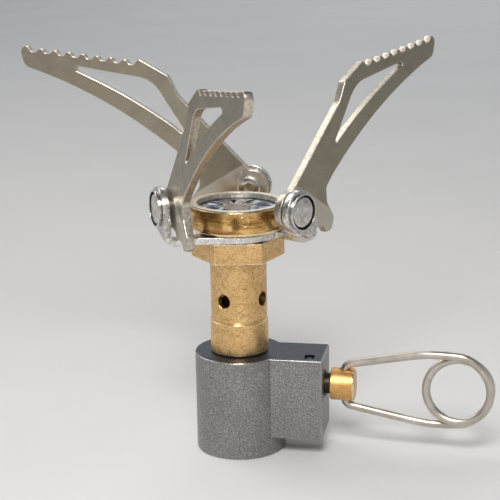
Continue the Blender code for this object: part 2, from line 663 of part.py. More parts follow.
def make_spindle_parts():
    spindle = solid_turned("spindle", [
        (GRIP_RADIUS - 0.35 * MM, GRIP_END_X),
        (GRIP_RADIUS, GRIP_END_X - 0.3 * MM),
        (GRIP_RADIUS, GRIP_START_X + 0.2 * MM),
        (GRIP_RADIUS - 0.2 * MM, GRIP_START_X),
        (SPINDLE_NECK, GRIP_START_X),
        (SPINDLE_NECK, LAND_END_X),
        (SPINDLE_LAND, LAND_END_X),
        (SPINDLE_LAND, SEAL_GROOVE_END_X),
        (SEAL_GROOVE_RADIUS, SEAL_GROOVE_END_X),
        (SEAL_GROOVE_RADIUS, SEAL_GROOVE_START_X),
        (SPINDLE_LAND, SEAL_GROOVE_START_X),
        (SPINDLE_LAND, LAND_START_X),
        (NEEDLE_RADIUS, LAND_START_X),
        (NEEDLE_RADIUS, NEEDLE_TIP_X + 1.4 * MM),
        (0.2 * MM, NEEDLE_TIP_X),
    ], "brass", STEPS_SMALL)
    face_along_x(spindle)
    for side in (-1, 1):
        low, high = sorted((side * GRIP_FLAT, side * 5 * MM))
        flat = add_object("grip_flat_cut", box_mesh(
            "grip_flat_cut", (GRIP_START_X - 0.2 * MM, -5 * MM, SPINDLE_Z + low),
            (GRIP_END_X + MM, 5 * MM, SPINDLE_Z + high)))
        boolean(spindle, flat)
    boolean(spindle, cylinder_cutter("handle_hole", WIRE_RADIUS + 0.08 * MM,
                                     (HINGE_X, 0, SPINDLE_Z - 5 * MM),
                                     (HINGE_X, 0, SPINDLE_Z + 5 * MM), 16))
    ring_centre, ring_radius = 2.05 * MM, 0.4 * MM
    ring_x = (SEAL_GROOVE_START_X + SEAL_GROOVE_END_X) / 2
    ring = turned("spindle_seal", [
        (ring_centre + ring_radius * math.cos(-t), ring_x + ring_radius * math.sin(-t))
        for t in [2 * math.pi * i / 8 for i in range(8)]
    ], "rubber", 24)
    face_along_x(ring)
    keeper = solid_turned("keeper_pin", [
        (KEEPER_RADIUS - 0.1 * MM, BODY_HEIGHT - 0.25 * MM),
        (KEEPER_RADIUS, BODY_HEIGHT - 0.35 * MM),
        (KEEPER_RADIUS, KEEPER_BOTTOM_Z),
    ], "wire_steel", 16)
    keeper.location = (KEEPER_X, KEEPER_Y, 0)


def handle_points():
    """The wire's centre line from its upper end in the spindle, round the loop, to its lower."""
    sweep = 2 * math.pi * LOOP_TURNS
    depth = LOOP_PITCH * LOOP_TURNS / 2
    upper = []
    for place in rounded([
        (0.0, LEG_START_HEIGHT, 0.0),
        (0.0, LEG_BEND_HEIGHT, LEG_BEND_RADIUS),
        (LEG_SHOULDER, LEG_HEIGHT, LEG_SHOULDER_RADIUS),
        (LEG_SHOULDER + 3.5 * MM, LEG_HEIGHT, 0.0),
    ], math.radians(14)):
        t = place.x / LOOP_CENTRE
        upper.append(Vector((place.x, -depth * t * t * (3 - 2 * t), place.y)))
    loop = []
    count = 50
    for i in range(count + 1):
        t = i / count
        angle = math.pi / 2 - sweep * t
        quarters = min(1, min(t, 1 - t) * LOOP_TURNS * 4)
        radius = LOOP_RADIUS + (LEG_HEIGHT - LOOP_RADIUS) * (1 - quarters) ** 2
        loop.append(Vector((LOOP_CENTRE + radius * math.cos(angle),
                            depth * (2 * t - 1), radius * math.sin(angle))))
    lower = [Vector((p.x, -p.y, -p.z)) for p in reversed(upper)]
    return upper + loop + lower


def make_handle():
    curve = bpy.data.curves.new("wire_handle", "CURVE")
    curve.dimensions = "3D"
    curve.bevel_depth = WIRE_RADIUS
    curve.bevel_resolution = 2
    curve.use_fill_caps = True
    points = handle_points()
    spline = curve.splines.new("POLY")
    spline.points.add(len(points) - 1)
    for point, place in zip(spline.points, points):
        point.co = (*place, 1.0)
    handle = bpy.data.objects.new("wire_handle", curve)
    STOVE.objects.link(handle)
    curve.materials.append(PAINT["wire_steel"])
    handle.location = (HINGE_X, 0, SPINDLE_Z)
    handle.rotation_euler = (0, 0, HANDLE_YAW)


make_valve_body()
make_inlet_parts()
make_jet_and_filter()
make_mixing_tube()
make_burner()
make_support_base()
make_pot_supports()
make_rivets_and_washers()
make_spindle_parts()
make_handle()
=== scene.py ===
"""Looks of the camping stove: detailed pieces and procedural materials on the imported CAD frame."""

import json
import math

import bmesh
import bpy
from mathutils import Matrix, Vector


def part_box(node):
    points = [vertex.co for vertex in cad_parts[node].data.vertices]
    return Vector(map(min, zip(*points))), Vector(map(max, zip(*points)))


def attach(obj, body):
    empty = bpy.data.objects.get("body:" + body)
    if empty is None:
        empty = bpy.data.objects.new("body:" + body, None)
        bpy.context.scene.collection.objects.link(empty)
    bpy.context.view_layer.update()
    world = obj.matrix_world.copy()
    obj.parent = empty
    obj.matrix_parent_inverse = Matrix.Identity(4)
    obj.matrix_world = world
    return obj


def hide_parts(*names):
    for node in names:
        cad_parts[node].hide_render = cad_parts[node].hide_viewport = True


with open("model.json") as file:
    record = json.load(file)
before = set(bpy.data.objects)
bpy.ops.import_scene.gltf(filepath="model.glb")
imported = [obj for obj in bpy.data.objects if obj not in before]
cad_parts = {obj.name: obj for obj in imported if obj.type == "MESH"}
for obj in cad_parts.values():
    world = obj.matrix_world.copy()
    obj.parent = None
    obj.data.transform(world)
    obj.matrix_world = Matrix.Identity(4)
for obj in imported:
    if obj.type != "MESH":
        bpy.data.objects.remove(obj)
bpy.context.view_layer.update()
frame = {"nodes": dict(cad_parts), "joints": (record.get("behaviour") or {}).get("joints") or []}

MM = 0.001


# -------------------------------------- places and sizes in mm, after the CAD

JOINTS = {joint["name"]: joint for joint in frame["joints"]}

BODY_LOW, BODY_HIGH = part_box("valve_body")
BODY_RADIUS = -BODY_LOW.x / MM
BODY_HEIGHT = BODY_HIGH.z / MM
BLOCK_END = BODY_HIGH.x / MM
BLOCK_HALF_WIDTH = 4.8
BLOCK_BOTTOM = 3.2
SOCKET_RADIUS = 5.5
SOCKET_DEPTH = 7.2
TUBE_FOOT = 14.4
SPINDLE_BORE = 2.5
KEEPER_X, KEEPER_Y = 12.6, -2.5

SPINDLE_LOW, SPINDLE_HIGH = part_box("spindle")
SPINDLE = (SPINDLE_LOW.z + SPINDLE_HIGH.z) / 2 / MM
GRIP_END = SPINDLE_HIGH.x / MM
GRIP_START = GRIP_END - 4.15
GRIP_RADIUS = 2.8
HINGE = JOINTS["handle_swing"]["pos_m"][0] / MM

PIVOT = JOINTS["support_1_fold"]["pos_m"][2] / MM
PIVOT_AZIMUTHS = (-30, 90, 210)
ARM_INNER = 10.9
ARM_THICKNESS = 1.4
EAR_INNER = 12.8
RIVET_RADIUS = 1.5
RIVET_HOLE = 1.58

CUP_LOW, CUP_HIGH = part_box("burner_cup")
CUP_RADIUS = CUP_HIGH.x / MM
BASE_TOP = CUP_LOW.z / MM - 0.1
BASE_THICKNESS = 1.2
NECK_HOLE = 4.46
COLLAR_BOTTOM = 34.4


# ---------------------------------------------------------------- materials

class Shader:
    """A Principled material and short calls for the procedural nodes that feed it."""

    def __init__(self, name, metallic, roughness):
        self.material = bpy.data.materials.new(name)
        self.material.use_nodes = True
        self.tree = self.material.node_tree
        self.shader = self.tree.nodes["Principled BSDF"]
        self.shader.inputs["Metallic"].default_value = metallic
        self.shader.inputs["Roughness"].default_value = roughness
        self.place = self.tree.nodes.new("ShaderNodeTexCoord").outputs["Object"]
        self.normal = None

    def link(self, source, target):
        self.tree.links.new(source, target)

    def stretched(self, x=1.0, y=1.0, z=1.0, turn=(0.0, 0.0, 0.0)):
        node = self.tree.nodes.new("ShaderNodeMapping")
        node.inputs["Scale"].default_value = (x, y, z)
        node.inputs["Rotation"].default_value = turn
        self.link(self.place, node.inputs["Vector"])
        return node.outputs["Vector"]

    def noise(self, size_mm, detail=2.0, roughness=0.5, distortion=0.0, place=None):
        """Soft noise with features of about that size, from 0 to 1."""
        node = self.tree.nodes.new("ShaderNodeTexNoise")
        node.inputs["Scale"].default_value = 1.0 / (size_mm * MM)
        node.inputs["Detail"].default_value = detail
        node.inputs["Roughness"].default_value = roughness
        node.inputs["Distortion"].default_value = distortion
        self.link(place or self.place, node.inputs["Vector"])
        return node.outputs["Fac"]

    def cells(self, size_mm):
        """Distance from the middle of the nearest of many cells of about that size."""
        node = self.tree.nodes.new("ShaderNodeTexVoronoi")
        node.inputs["Scale"].default_value = 1.0 / (size_mm * MM)
        self.link(self.place, node.inputs["Vector"])
        return node.outputs["Distance"]

    def axis(self, name):
        node = self.tree.nodes.new("ShaderNodeSeparateXYZ")
        self.link(self.place, node.inputs["Vector"])
        return node.outputs[name]

    def radius(self):
        """Distance from the object's own Z axis."""
        node = self.tree.nodes.new("ShaderNodeVectorMath")
        node.operation = "LENGTH"
        self.link(self.stretched(z=0.0), node.inputs[0])
        return node.outputs["Value"]

    def distance(self, x, y, z):
        """Distance from a point of the object."""
        node = self.tree.nodes.new("ShaderNodeVectorMath")
        node.operation = "DISTANCE"
        self.link(self.place, node.inputs[0])
        node.inputs[1].default_value = (x, y, z)
        return node.outputs["Value"]

    def maths(self, operation, first, second=0.0, third=0.0):
        node = self.tree.nodes.new("ShaderNodeMath")
        node.operation = operation
        for socket, value in zip(node.inputs, (first, second, third)):
            if isinstance(value, (int, float)):
                socket.default_value = value
            else:
                self.link(value, socket)
        return node.outputs["Value"]

    def spread(self, value, low, high, to_low=0.0, to_high=1.0):
        """The value's stretch from low to high, mapped smoothly and clamped."""
        node = self.tree.nodes.new("ShaderNodeMapRange")
        node.interpolation_type = "SMOOTHSTEP"
        self.link(value, node.inputs["Value"])
        for socket, number in zip(("From Min", "From Max", "To Min", "To Max"),
                                  (low, high, to_low, to_high)):
            node.inputs[socket].default_value = number
        return node.outputs["Result"]

    def ramp(self, value, stops):
        node = self.tree.nodes.new("ShaderNodeValToRGB")
        elements = node.color_ramp.elements
        while len(elements) < len(stops):
            elements.new(0.5)
        for element, (position, colour) in zip(elements, stops):
            element.position = position
            element.color = (*colour, 1.0)
        self.link(value, node.inputs["Fac"])
        return node.outputs["Color"]

    def mix(self, share, under, colour):
        """Covers what lies under with that share of a plain colour."""
        node = self.tree.nodes.new("ShaderNodeMix")
        node.data_type = "RGBA"
        self.link(share, node.inputs["Factor"])
        self.link(under, node.inputs[6])
        node.inputs[7].default_value = (*colour, 1.0)
        return node.outputs[2]

    def bump(self, height, depth_mm, strength=1.0):
        """Adds a relief of that depth to what the earlier calls gave."""
        node = self.tree.nodes.new("ShaderNodeBump")
        node.inputs["Strength"].default_value = strength
        node.inputs["Distance"].default_value = depth_mm * MM
        self.link(height, node.inputs["Height"])
        if self.normal:
            self.link(self.normal, node.inputs["Normal"])
        self.normal = node.outputs["Normal"]

    def done(self, colour, roughness=None):
        self.link(colour, self.shader.inputs["Base Color"])
        if roughness is not None:
            self.link(roughness, self.shader.inputs["Roughness"])
        if self.normal:
            self.link(self.normal, self.shader.inputs["Normal"])
        return self.material


def blasted_aluminium():
    """Dark grey anodised aluminium with a fine, sparkling bead-blasted grain."""
    s = Shader("body_anodised", metallic=0.85, roughness=0.5)
    grain = s.noise(0.085, 2.0, 0.6)
    coarse = s.noise(0.23, 2.0, 0.6)
    cloud = s.noise(5.0, 3.0)
    tone = s.ramp(s.maths("MULTIPLY_ADD", coarse, 0.5, s.maths("MULTIPLY", grain, 0.5)), [
        (0.34, (0.085, 0.085, 0.088)),
        (0.50, (0.245, 0.242, 0.240)),
        (0.66, (0.56, 0.55, 0.54)),
    ])
    tone = s.mix(s.spread(cloud, 0.35, 0.7, 0.0, 0.22), tone, (0.15, 0.152, 0.158))
    s.bump(coarse, 0.035, 0.6)
    s.bump(grain, 0.02, 0.7)
    return s.done(tone, s.spread(grain, 0.3, 0.7, 0.36, 0.58))


def smooth_anodised():
    """The top faces of the valve body: smoother, with faint cutter arcs, and painted darker as the
    dark reflection these faces show.
    """
    s = Shader("body_anodised_smooth", metallic=0.8, roughness=0.33)
    grain = s.noise(0.3, 3.0, 0.6)
    ring = s.maths("SINE", s.maths("MULTIPLY", s.radius(), 2 * math.pi / (0.22 * MM)))
    tone = s.ramp(grain, [
        (0.30, (0.024, 0.030, 0.038)),
        (0.70, (0.054, 0.066, 0.080)),
    ])
    s.bump(ring, 0.002, 0.35)
    s.bump(grain, 0.01, 0.4)
    return s.done(tone, s.spread(s.noise(1.6, 3.0), 0.3, 0.7, 0.26, 0.42))


def two_tone_metal(name, dark, light, low=0.20, high=0.36):
    """Metal between two tones: lighter ones for rounded edges, as worn metal with a painted
    highlight, near black ones for grooves and hollows, as painted shade, and others for small plain
    parts.
    """
    s = Shader(name, metallic=1.0, roughness=0.25)
    nicks = s.noise(0.22, 3.0, 0.6)
    tone = s.ramp(s.noise(0.6, 3.0, 0.6), [(0.32, dark), (0.62, light)])
    s.bump(nicks, 0.008, 0.4)
    return s.done(tone, s.spread(nicks, 0.3, 0.7, low, high))


def drawn_steel():
    """The pot supports' satin faces: warm grey, fine rolled grain, faint stains."""
    s = Shader("support_steel", metallic=1.0, roughness=0.38)
    lines = s.noise(0.09, 3.0, 0.7, place=s.stretched(0.05, 1.0, 1.0, (0, 0, 0.45)))
    grain = s.noise(0.12, 2.0, 0.7)
    stain = s.noise(4.5, 4.0, 0.6, 0.4)
    tone = s.ramp(s.maths("MULTIPLY_ADD", lines, 0.5, s.maths("MULTIPLY", grain, 0.5)), [
        (0.30, (0.250, 0.220, 0.165)),
        (0.52, (0.355, 0.318, 0.245)),
        (0.72, (0.470, 0.425, 0.340)),
    ])
    tone = s.mix(s.spread(stain, 0.42, 0.72, 0.0, 0.45), tone, (0.24, 0.205, 0.16))
    # Below the line 0.6 X + Y = 4.5 mm, round the pivot and the heel, the tone is lighter: a painted
    # highlight for light on the heel's bend. The same mask bumps a crease.
    below = s.maths("MULTIPLY_ADD", s.axis("X"), 0.6, s.axis("Y"))
    heel = s.spread(below, 4.50 * MM, 4.75 * MM, 1.0, 0.0)
    tone = s.mix(s.maths("MULTIPLY", heel, 0.8), tone, (0.60, 0.555, 0.47))
    s.bump(heel, 0.06, 0.6)
    s.bump(lines, 0.012, 0.5)
    s.bump(grain, 0.012, 0.4)
    return s.done(tone, s.spread(s.noise(1.1, 4.0, 0.7), 0.3, 0.7, 0.30, 0.47))


def mottled_steel():
    """The bent base: bright satin steel with a mottled, lightly scratched skin."""
    s = Shader("bracket_steel", metallic=1.0, roughness=0.3)
    blotch = s.noise(0.7, 4.0, 0.68, 0.6)
    fine = s.noise(0.14, 2.0, 0.6)
    scratch = s.noise(0.12, 2.0, 0.5, 0.5, place=s.stretched(1.0, 0.06, 0.5, (0.3, 0.2, 0.7)))
    tone = s.ramp(blotch, [
        (0.30, (0.30, 0.29, 0.275)),
        (0.47, (0.50, 0.485, 0.465)),
        (0.68, (0.72, 0.705, 0.68)),
    ])
    tone = s.mix(s.spread(scratch, 0.64, 0.74, 0.0, 0.5), tone, (0.34, 0.32, 0.30))
    s.bump(blotch, 0.02, 0.35)
    s.bump(scratch, 0.012, 0.5)
    s.bump(fine, 0.01, 0.3)
    return s.done(tone, s.spread(blotch, 0.3, 0.7, 0.36, 0.22))


def polished_steel():
    """Rivet heads: pressed and polished, with fine rings, and dark patches that are partly a smudge
    and partly a painted dark reflection.
    """
    s = Shader("rivet_steel", metallic=1.0, roughness=0.2)
    ring = s.maths("SINE", s.maths("MULTIPLY", s.radius(), 2 * math.pi / (0.17 * MM)))
    smudge = s.noise(1.3, 4.0, 0.65, 0.8)
    # The dark end of the ramp gives smudges and a painted dark reflection on the polished face.
    tone = s.ramp(smudge, [
        (0.34, (0.14, 0.13, 0.11)),
        (0.41, (0.50, 0.475, 0.435)),
        (0.66, (0.80, 0.775, 0.73)),
    ])
    s.bump(ring, 0.002, 0.3)
    s.bump(smudge, 0.03, 0.3)
    return s.done(tone, s.spread(smudge, 0.3, 0.75, 0.30, 0.14))


def wire_steel():
    """Satin warm stainless wire with faint drawing marks and handling smudges."""
    s = Shader("wire_steel", metallic=1.0, roughness=0.3)
    smudge = s.noise(3.2, 3.0, 0.5, 0.3)
    fine = s.noise(0.07, 2.0, 0.5)
    tone = s.ramp(s.maths("MULTIPLY_ADD", fine, 0.25, s.maths("MULTIPLY", smudge, 0.75)), [
        (0.32, (0.46, 0.41, 0.355)),
        (0.52, (0.60, 0.55, 0.49)),
        (0.70, (0.72, 0.675, 0.62)),
    ])
    s.bump(fine, 0.003, 0.4)
    return s.done(tone, s.spread(smudge, 0.3, 0.7, 0.30, 0.42))


def turned_brass(name, dark, middle, light, speckle, low, high, along=(1.0, 1.0, 0.07)):
    """Brass off the lathe: fine rings round its axis, dark speckles and soft tarnish."""
    s = Shader(name, metallic=1.0, roughness=0.4)
    rings = s.noise(0.11, 2.0, 0.6, place=s.stretched(*along))
    specks = s.noise(0.20, 1.0, 0.5)
    tarnish = s.noise(0.85, 4.0, 0.7, 0.5)
    cloud = s.noise(3.2, 4.0, 0.62, 0.4)
    tone = s.ramp(s.maths("MULTIPLY_ADD", rings, 0.35, s.maths("MULTIPLY", cloud, 0.65)), [
        (0.33, dark), (0.50, middle), (0.68, light),
    ])
    tone = s.mix(s.spread(tarnish, 0.50, 0.68, 0.0, 0.6 * speckle), tone, dark)
    uneven = s.maths("MULTIPLY_ADD", tarnish, 0.35, s.maths("MULTIPLY_ADD", specks, 0.8, -0.08))
    tone = s.mix(s.spread(uneven, 0.555, 0.61, 0.0, speckle), tone,
                 tuple(0.45 * c for c in dark))
    s.bump(rings, 0.008, 0.35)
    s.bump(specks, 0.015, 0.45)
    return s.done(tone, s.spread(cloud, 0.3, 0.7, low, high))


def tarnished_brass():
    """The burner cup: polished brass with brown and gold patches from the heat, and a stain."""
    s = Shader("burner_brass", metallic=1.0, roughness=0.25)
    patch = s.noise(2.4, 4.0, 0.62, 0.3, place=s.stretched(0.7, 0.7, 1.8))
    bands = s.noise(0.35, 2.0, 0.5, place=s.stretched(0.08, 0.08, 1.0))
    fine = s.noise(0.13, 2.0, 0.6)
    tone = s.ramp(s.maths("MULTIPLY_ADD", bands, 0.25, s.maths("MULTIPLY", patch, 0.75)), [
        (0.34, (0.17, 0.080, 0.026)),
        (0.45, (0.42, 0.225, 0.075)),
        (0.56, (0.68, 0.42, 0.160)),
        (0.70, (0.86, 0.62, 0.28)),
    ])
    stain = s.maths("ADD", s.distance(1.3 * MM, -8.0 * MM, 41.45 * MM),
                    s.maths("MULTIPLY_ADD", patch, 1.6 * MM, -0.8 * MM))
    tone = s.mix(s.spread(stain, 0.6 * MM, 1.4 * MM, 0.9, 0.0), tone, (0.12, 0.06, 0.025))
    s.bump(bands, 0.01, 0.35)
    s.bump(fine, 0.006, 0.3)
    return s.done(tone, s.spread(patch, 0.32, 0.68, 0.38, 0.20))


def heated_steel():
    """The burner plate: blue-grey from the flame, a warmer ring near the middle."""
    s = Shader("burner_steel", metallic=1.0, roughness=0.3)
    cloud = s.noise(2.2, 4.0, 0.6, 0.5)
    fine = s.noise(0.16, 3.0, 0.6)
    away = s.maths("ADD", s.maths("DIVIDE", s.radius(), 7.5 * MM),
                   s.maths("MULTIPLY_ADD", cloud, 0.35, -0.17))
    tone = s.ramp(away, [
        (0.05, (0.30, 0.285, 0.28)),
        (0.30, (0.36, 0.315, 0.285)),
        (0.55, (0.28, 0.305, 0.36)),
        (0.80, (0.40, 0.43, 0.49)),
        (1.00, (0.55, 0.56, 0.58)),
    ])
    tone = s.mix(s.spread(fine, 0.6, 0.75, 0.0, 0.4), tone, (0.15, 0.15, 0.17))
    s.bump(fine, 0.01, 0.4)
    return s.done(tone, s.spread(cloud, 0.3, 0.7, 0.24, 0.4))


def gauze_steel():
    """The screen under the burner plate: sooty woven wire, with the weave's low parts painted darker
    as shade.
    """
    s = Shader("burner_gauze", metallic=0.9, roughness=0.5)
    warp = s.maths("SINE", s.maths("MULTIPLY", s.axis("X"), 2 * math.pi / (0.34 * MM)))
    weft = s.maths("SINE", s.maths("MULTIPLY", s.axis("Y"), 2 * math.pi / (0.34 * MM)))
    weave = s.maths("MULTIPLY_ADD", s.maths("MULTIPLY", warp, weft), 0.5, 0.5)
    # The tone follows the weave's relief: the low parts are painted shade.
    tone = s.ramp(weave, [(0.15, (0.035, 0.033, 0.032)), (0.85, (0.26, 0.24, 0.22))])
    s.bump(weave, 0.08, 0.8)
    return s.done(tone, s.spread(s.noise(0.5), 0.3, 0.7, 0.4, 0.7))


def rubber():
    s = Shader("rubber", metallic=0.0, roughness=0.6)
    bloom = s.noise(0.8, 4.0, 0.6)
    tone = s.ramp(bloom, [(0.35, (0.012, 0.012, 0.013)), (0.70, (0.035, 0.034, 0.034))])
    s.bump(s.noise(0.12, 2.0), 0.02, 0.4)
    return s.done(tone, s.spread(bloom, 0.3, 0.7, 0.5, 0.75))


def sintered_bronze():
    s = Shader("sintered_bronze", metallic=0.9, roughness=0.6)
    beads = s.cells(0.16)
    # Dark towards each cell's edge: painted shade between the beads.
    tone = s.ramp(beads, [(0.10, (0.62, 0.46, 0.28)), (0.75, (0.14, 0.09, 0.05))])
    s.bump(s.maths("SUBTRACT", 1.0, beads), 0.08, 0.9)
    return s.done(tone, s.spread(beads, 0.1, 0.8, 0.45, 0.75))


def pale_floor():
    s = Shader("pale_floor", metallic=0.0, roughness=0.85)
    tone = s.ramp(s.noise(60.0, 3.0), [(0.3, (0.60, 0.596, 0.588)), (0.7, (0.63, 0.626, 0.618))])
    return s.done(tone)


BODY = blasted_aluminium()
# BODY_TOP: the valve body's top faces, painted darker as a dark reflection.
BODY_TOP = smooth_anodised()
# BODY_EDGE: lighter on the body's rounded edges and the bore's chamfer, worn metal with a painted
# highlight.
BODY_EDGE = two_tone_metal("body_anodised_edge", (0.26, 0.26, 0.265), (0.42, 0.42, 0.425))
SUPPORT = drawn_steel()
# SUPPORT_EDGE: lighter on the arms' rounded edges, tumbled metal with a painted highlight.
SUPPORT_EDGE = two_tone_metal("support_steel_edge", (0.38, 0.335, 0.27), (0.60, 0.55, 0.475), 0.26, 0.42)
BASE = mottled_steel()
# BASE_EDGE: lighter on the base's edges and the rims of rivets and washers, worn metal with a painted
# highlight.
BASE_EDGE = two_tone_metal("bracket_steel_edge", (0.48, 0.46, 0.43), (0.76, 0.74, 0.71))
RIVET = polished_steel()
WIRE = wire_steel()
TUBE = turned_brass("brass_matte", (0.50, 0.30, 0.115), (0.77, 0.50, 0.225), (0.88, 0.62, 0.31),
                    0.72, 0.30, 0.44, (0.1, 0.1, 1.0))
# TUBE_EDGE: lighter on the tube's chamfers, groove and hexagon rounds, worn brass with a painted
# highlight.
TUBE_EDGE = two_tone_metal("brass_matte_edge", (0.72, 0.54, 0.30), (0.90, 0.74, 0.48))
GRIP = turned_brass("brass", (0.52, 0.25, 0.075), (0.73, 0.41, 0.15), (0.84, 0.57, 0.26),
                    0.40, 0.38, 0.50, (0.06, 1.0, 1.0))
# STEM_SHADE: very dark brass on the spindle's neck between block and grip, painted shade.
STEM_SHADE = turned_brass("brass_stem", (0.035, 0.027, 0.02), (0.06, 0.045, 0.03), (0.09, 0.07, 0.045),
                    0.35, 0.35, 0.55, (0.06, 1.0, 1.0))
# BODY_RECESS_SHADE: near black, painted shade inside the keeper slot's recess.
BODY_RECESS_SHADE = two_tone_metal("body_anodised_hollow", (0.02, 0.02, 0.022), (0.05, 0.05, 0.055), 0.4, 0.6)
# GROOVE_SHADE: near black, painted shade in the grooves of the rivet heads.
GROOVE_SHADE = two_tone_metal("rivet_groove", (0.03, 0.026, 0.022), (0.09, 0.08, 0.07), 0.45, 0.65)
PIN = two_tone_metal("keeper_steel", (0.05, 0.05, 0.055), (0.11, 0.11, 0.12), 0.3, 0.5)
CUP = tarnished_brass()
# CUP_EDGE: lighter on the cup's rounds, the punch mark and the grip's chamfers, worn brass with a
# painted highlight.
CUP_EDGE = two_tone_metal("brass_edge", (0.72, 0.55, 0.27), (0.95, 0.82, 0.52), 0.12, 0.26)
RIM = two_tone_metal("burner_rim", (0.60, 0.55, 0.47), (0.84, 0.79, 0.70), 0.34, 0.52)
PLATE = heated_steel()
GAUZE = gauze_steel()
RUBBER = rubber()
SINTERED = sintered_bronze()


# ------------------------------------------------------------- mesh helpers

def polar(radius, azimuth):
    """X and Y at that radius and that azimuth in degrees."""
    a = math.radians(azimuth)
    return radius * math.cos(a), radius * math.sin(a)


def outwards(azimuth):
    return Vector((*polar(1.0, azimuth), 0.0))


def rounded(corners, step=math.radians(12)):
    """Outline points through corners (x, y, radius) in mm, each rounded with a tangent arc."""
    corners = [(x * MM, y * MM, radius * MM) for x, y, radius in corners]
    points = []
    for i, (x, y, radius) in enumerate(corners):
        here = Vector((x, y))
        if not radius:
            points.append(here)
            continue
        before = (Vector(corners[i - 1][:2]) - here).normalized()
        after = (Vector(corners[(i + 1) % len(corners)][:2]) - here).normalized()
        half = before.angle(after) / 2
        centre = here + (before + after).normalized() * radius / math.sin(half)
        first = here + before * radius / math.tan(half) - centre
        last = here + after * radius / math.tan(half) - centre
        sweep = first.angle_signed(last)
        count = max(3, math.ceil(abs(sweep) / step) + 1)
        for j in range(count):
            turn = Matrix.Rotation(-sweep * j / (count - 1), 2)
            points.append(centre + turn @ first)
    return points


def arc(radius, start, end, count):
    """Corners (x, y, 0) on an arc about the origin between two azimuths, both ends included."""
    return [(*polar(radius, start + (end - start) * i / (count - 1)), 0.0) for i in range(count)]


def bulged(start, end, rise, count):
    """Corners inside a shallow arc that rises to the left of the way from start to end."""
    start, end = Vector(start), Vector(end)
    side = Vector((start.y - end.y, end.x - start.x)).normalized()
    places = [
        start.lerp(end, t) + side * rise * 4 * t * (1 - t)
        for t in [i / (count + 1) for i in range(1, count + 1)]
    ]
    return [(p.x, p.y, 0.0) for p in places]


def ring_points(radius, count):
    return [Vector((radius * MM, 0)) @ Matrix.Rotation(2 * math.pi * i / count, 2)
            for i in range(count)]


def anticlockwise(points):
    area = sum(a.x * b.y - b.x * a.y for a, b in zip(points, points[1:] + points[:1]))
    return points if area > 0 else points[::-1]


def moved_in(points, inset):
    """The closed outline moved to its left."""
    moved = []
    for i, here in enumerate(points):
        before = (here - points[i - 1]).normalized()
        after = (points[(i + 1) % len(points)] - here).normalized()
        side = Vector((-before.y - after.y, before.x + after.x))
        moved.append(here + side * inset / max(side.length_squared / 2, 0.3))
    return moved


def wrapped(shape, rings):
    """Smooth walls from each closed ring of vertices to the next."""
    walls = []
    for low, high in zip(rings, rings[1:]):
        for i in range(len(low)):
            j = (i + 1) % len(low)
            walls.append(shape.faces.new((low[i], low[j], high[j], high[i])))
            walls[-1].smooth = True
    return walls


def plate_shape(outlines, thickness, edge, segments=3):
    """A flat plate with rounded edges: the first outline less the others. Faces 0, walls 1."""
    shape = bmesh.new()
    quarter = [
        (edge * (1 - math.cos(t)), thickness / 2 - edge + edge * math.sin(t))
        for t in [math.pi / 2 * j / segments for j in range(segments + 1)]
    ]
    rows = [(inset, -z) for inset, z in reversed(quarter)] + quarter
    caps = ([], [])
    for number, outline in enumerate(outlines):
        outline = anticlockwise(list(outline))
        if number:
            outline.reverse()
        rings = [
            [shape.verts.new((p.x, p.y, z)) for p in moved_in(outline, inset)]
            for inset, z in rows
        ]
        # The walls take slot 1, the lighter edge material with a painted highlight.
        for wall in wrapped(shape, rings):
            wall.material_index = 1
        for cap, ring in zip(caps, (rings[0], rings[-1])):
            cap += [shape.edges.get((ring[i], ring[i - 1])) for i in range(len(ring))]
    for cap in caps:
        bmesh.ops.triangle_fill(shape, use_beauty=True, edges=cap)
    bmesh.ops.recalc_face_normals(shape, faces=shape.faces)
    return shape


def turned_shape(profile, steps=96, marks=True):
    """A turned solid about Z through a closed profile. Slanting and rounded parts are slot 1."""
    shape = bmesh.new()
    rings = []
    for p in profile:
        if p.x < 1e-7:
            rings.append([shape.verts.new((0, 0, p.y))])
            continue
        rings.append([
            shape.verts.new((p.x * math.cos(t), p.x * math.sin(t), p.y))
            for t in [2 * math.pi * i / steps for i in range(steps)]
        ])
    for number, low in enumerate(rings):
        high = rings[(number + 1) % len(rings)]
        if len(low) == 1 and len(high) == 1:
            continue
        run = profile[(number + 1) % len(profile)] - profile[number]
        # Slanting and rounded faces take slot 1, which in most pieces is a lighter edge material with
        # a painted highlight.
        slant = min(abs(run.x), abs(run.y)) > 0.08 * run.length
        for i in range(steps):
            j = (i + 1) % steps
            corners = (low[i % len(low)], low[j % len(low)], high[j % len(high)], high[i % len(high)])
            face = shape.faces.new(list(dict.fromkeys(corners)))
            face.smooth = True
            face.material_index = int(marks and slant)
    bmesh.ops.recalc_face_normals(shape, faces=shape.faces)
    return shape


def object_from(name, shape, materials, sharp=35, flat_caps=False):
    mesh = bpy.data.meshes.new(name)
    shape.to_mesh(mesh)
    shape.free()
    for material in materials:
        mesh.materials.append(material)
    mesh.set_sharp_from_angle(angle=math.radians(sharp))
    if flat_caps:
        for face in mesh.polygons:
            face.use_smooth = face.material_index == 1
    obj = bpy.data.objects.new(name, mesh)
    bpy.context.scene.collection.objects.link(obj)
    return obj


def bake(obj):
    """Replaces the mesh with what its modifiers make of it."""
    bpy.context.view_layer.update()
    graph = bpy.context.evaluated_depsgraph_get()
    mesh = bpy.data.meshes.new_from_object(obj.evaluated_get(graph))
    obj.modifiers.clear()
    obj.data = mesh


def combined(obj, others, operation="DIFFERENCE"):
    """Joins or cuts with each of the others, which are then removed."""
    for other in others:
        modifier = obj.modifiers.new("solid", "BOOLEAN")
        modifier.operation = operation
        modifier.solver = "EXACT"
        modifier.object = other
    bake(obj)
    for other in others:
        bpy.data.objects.remove(other, do_unlink=True)


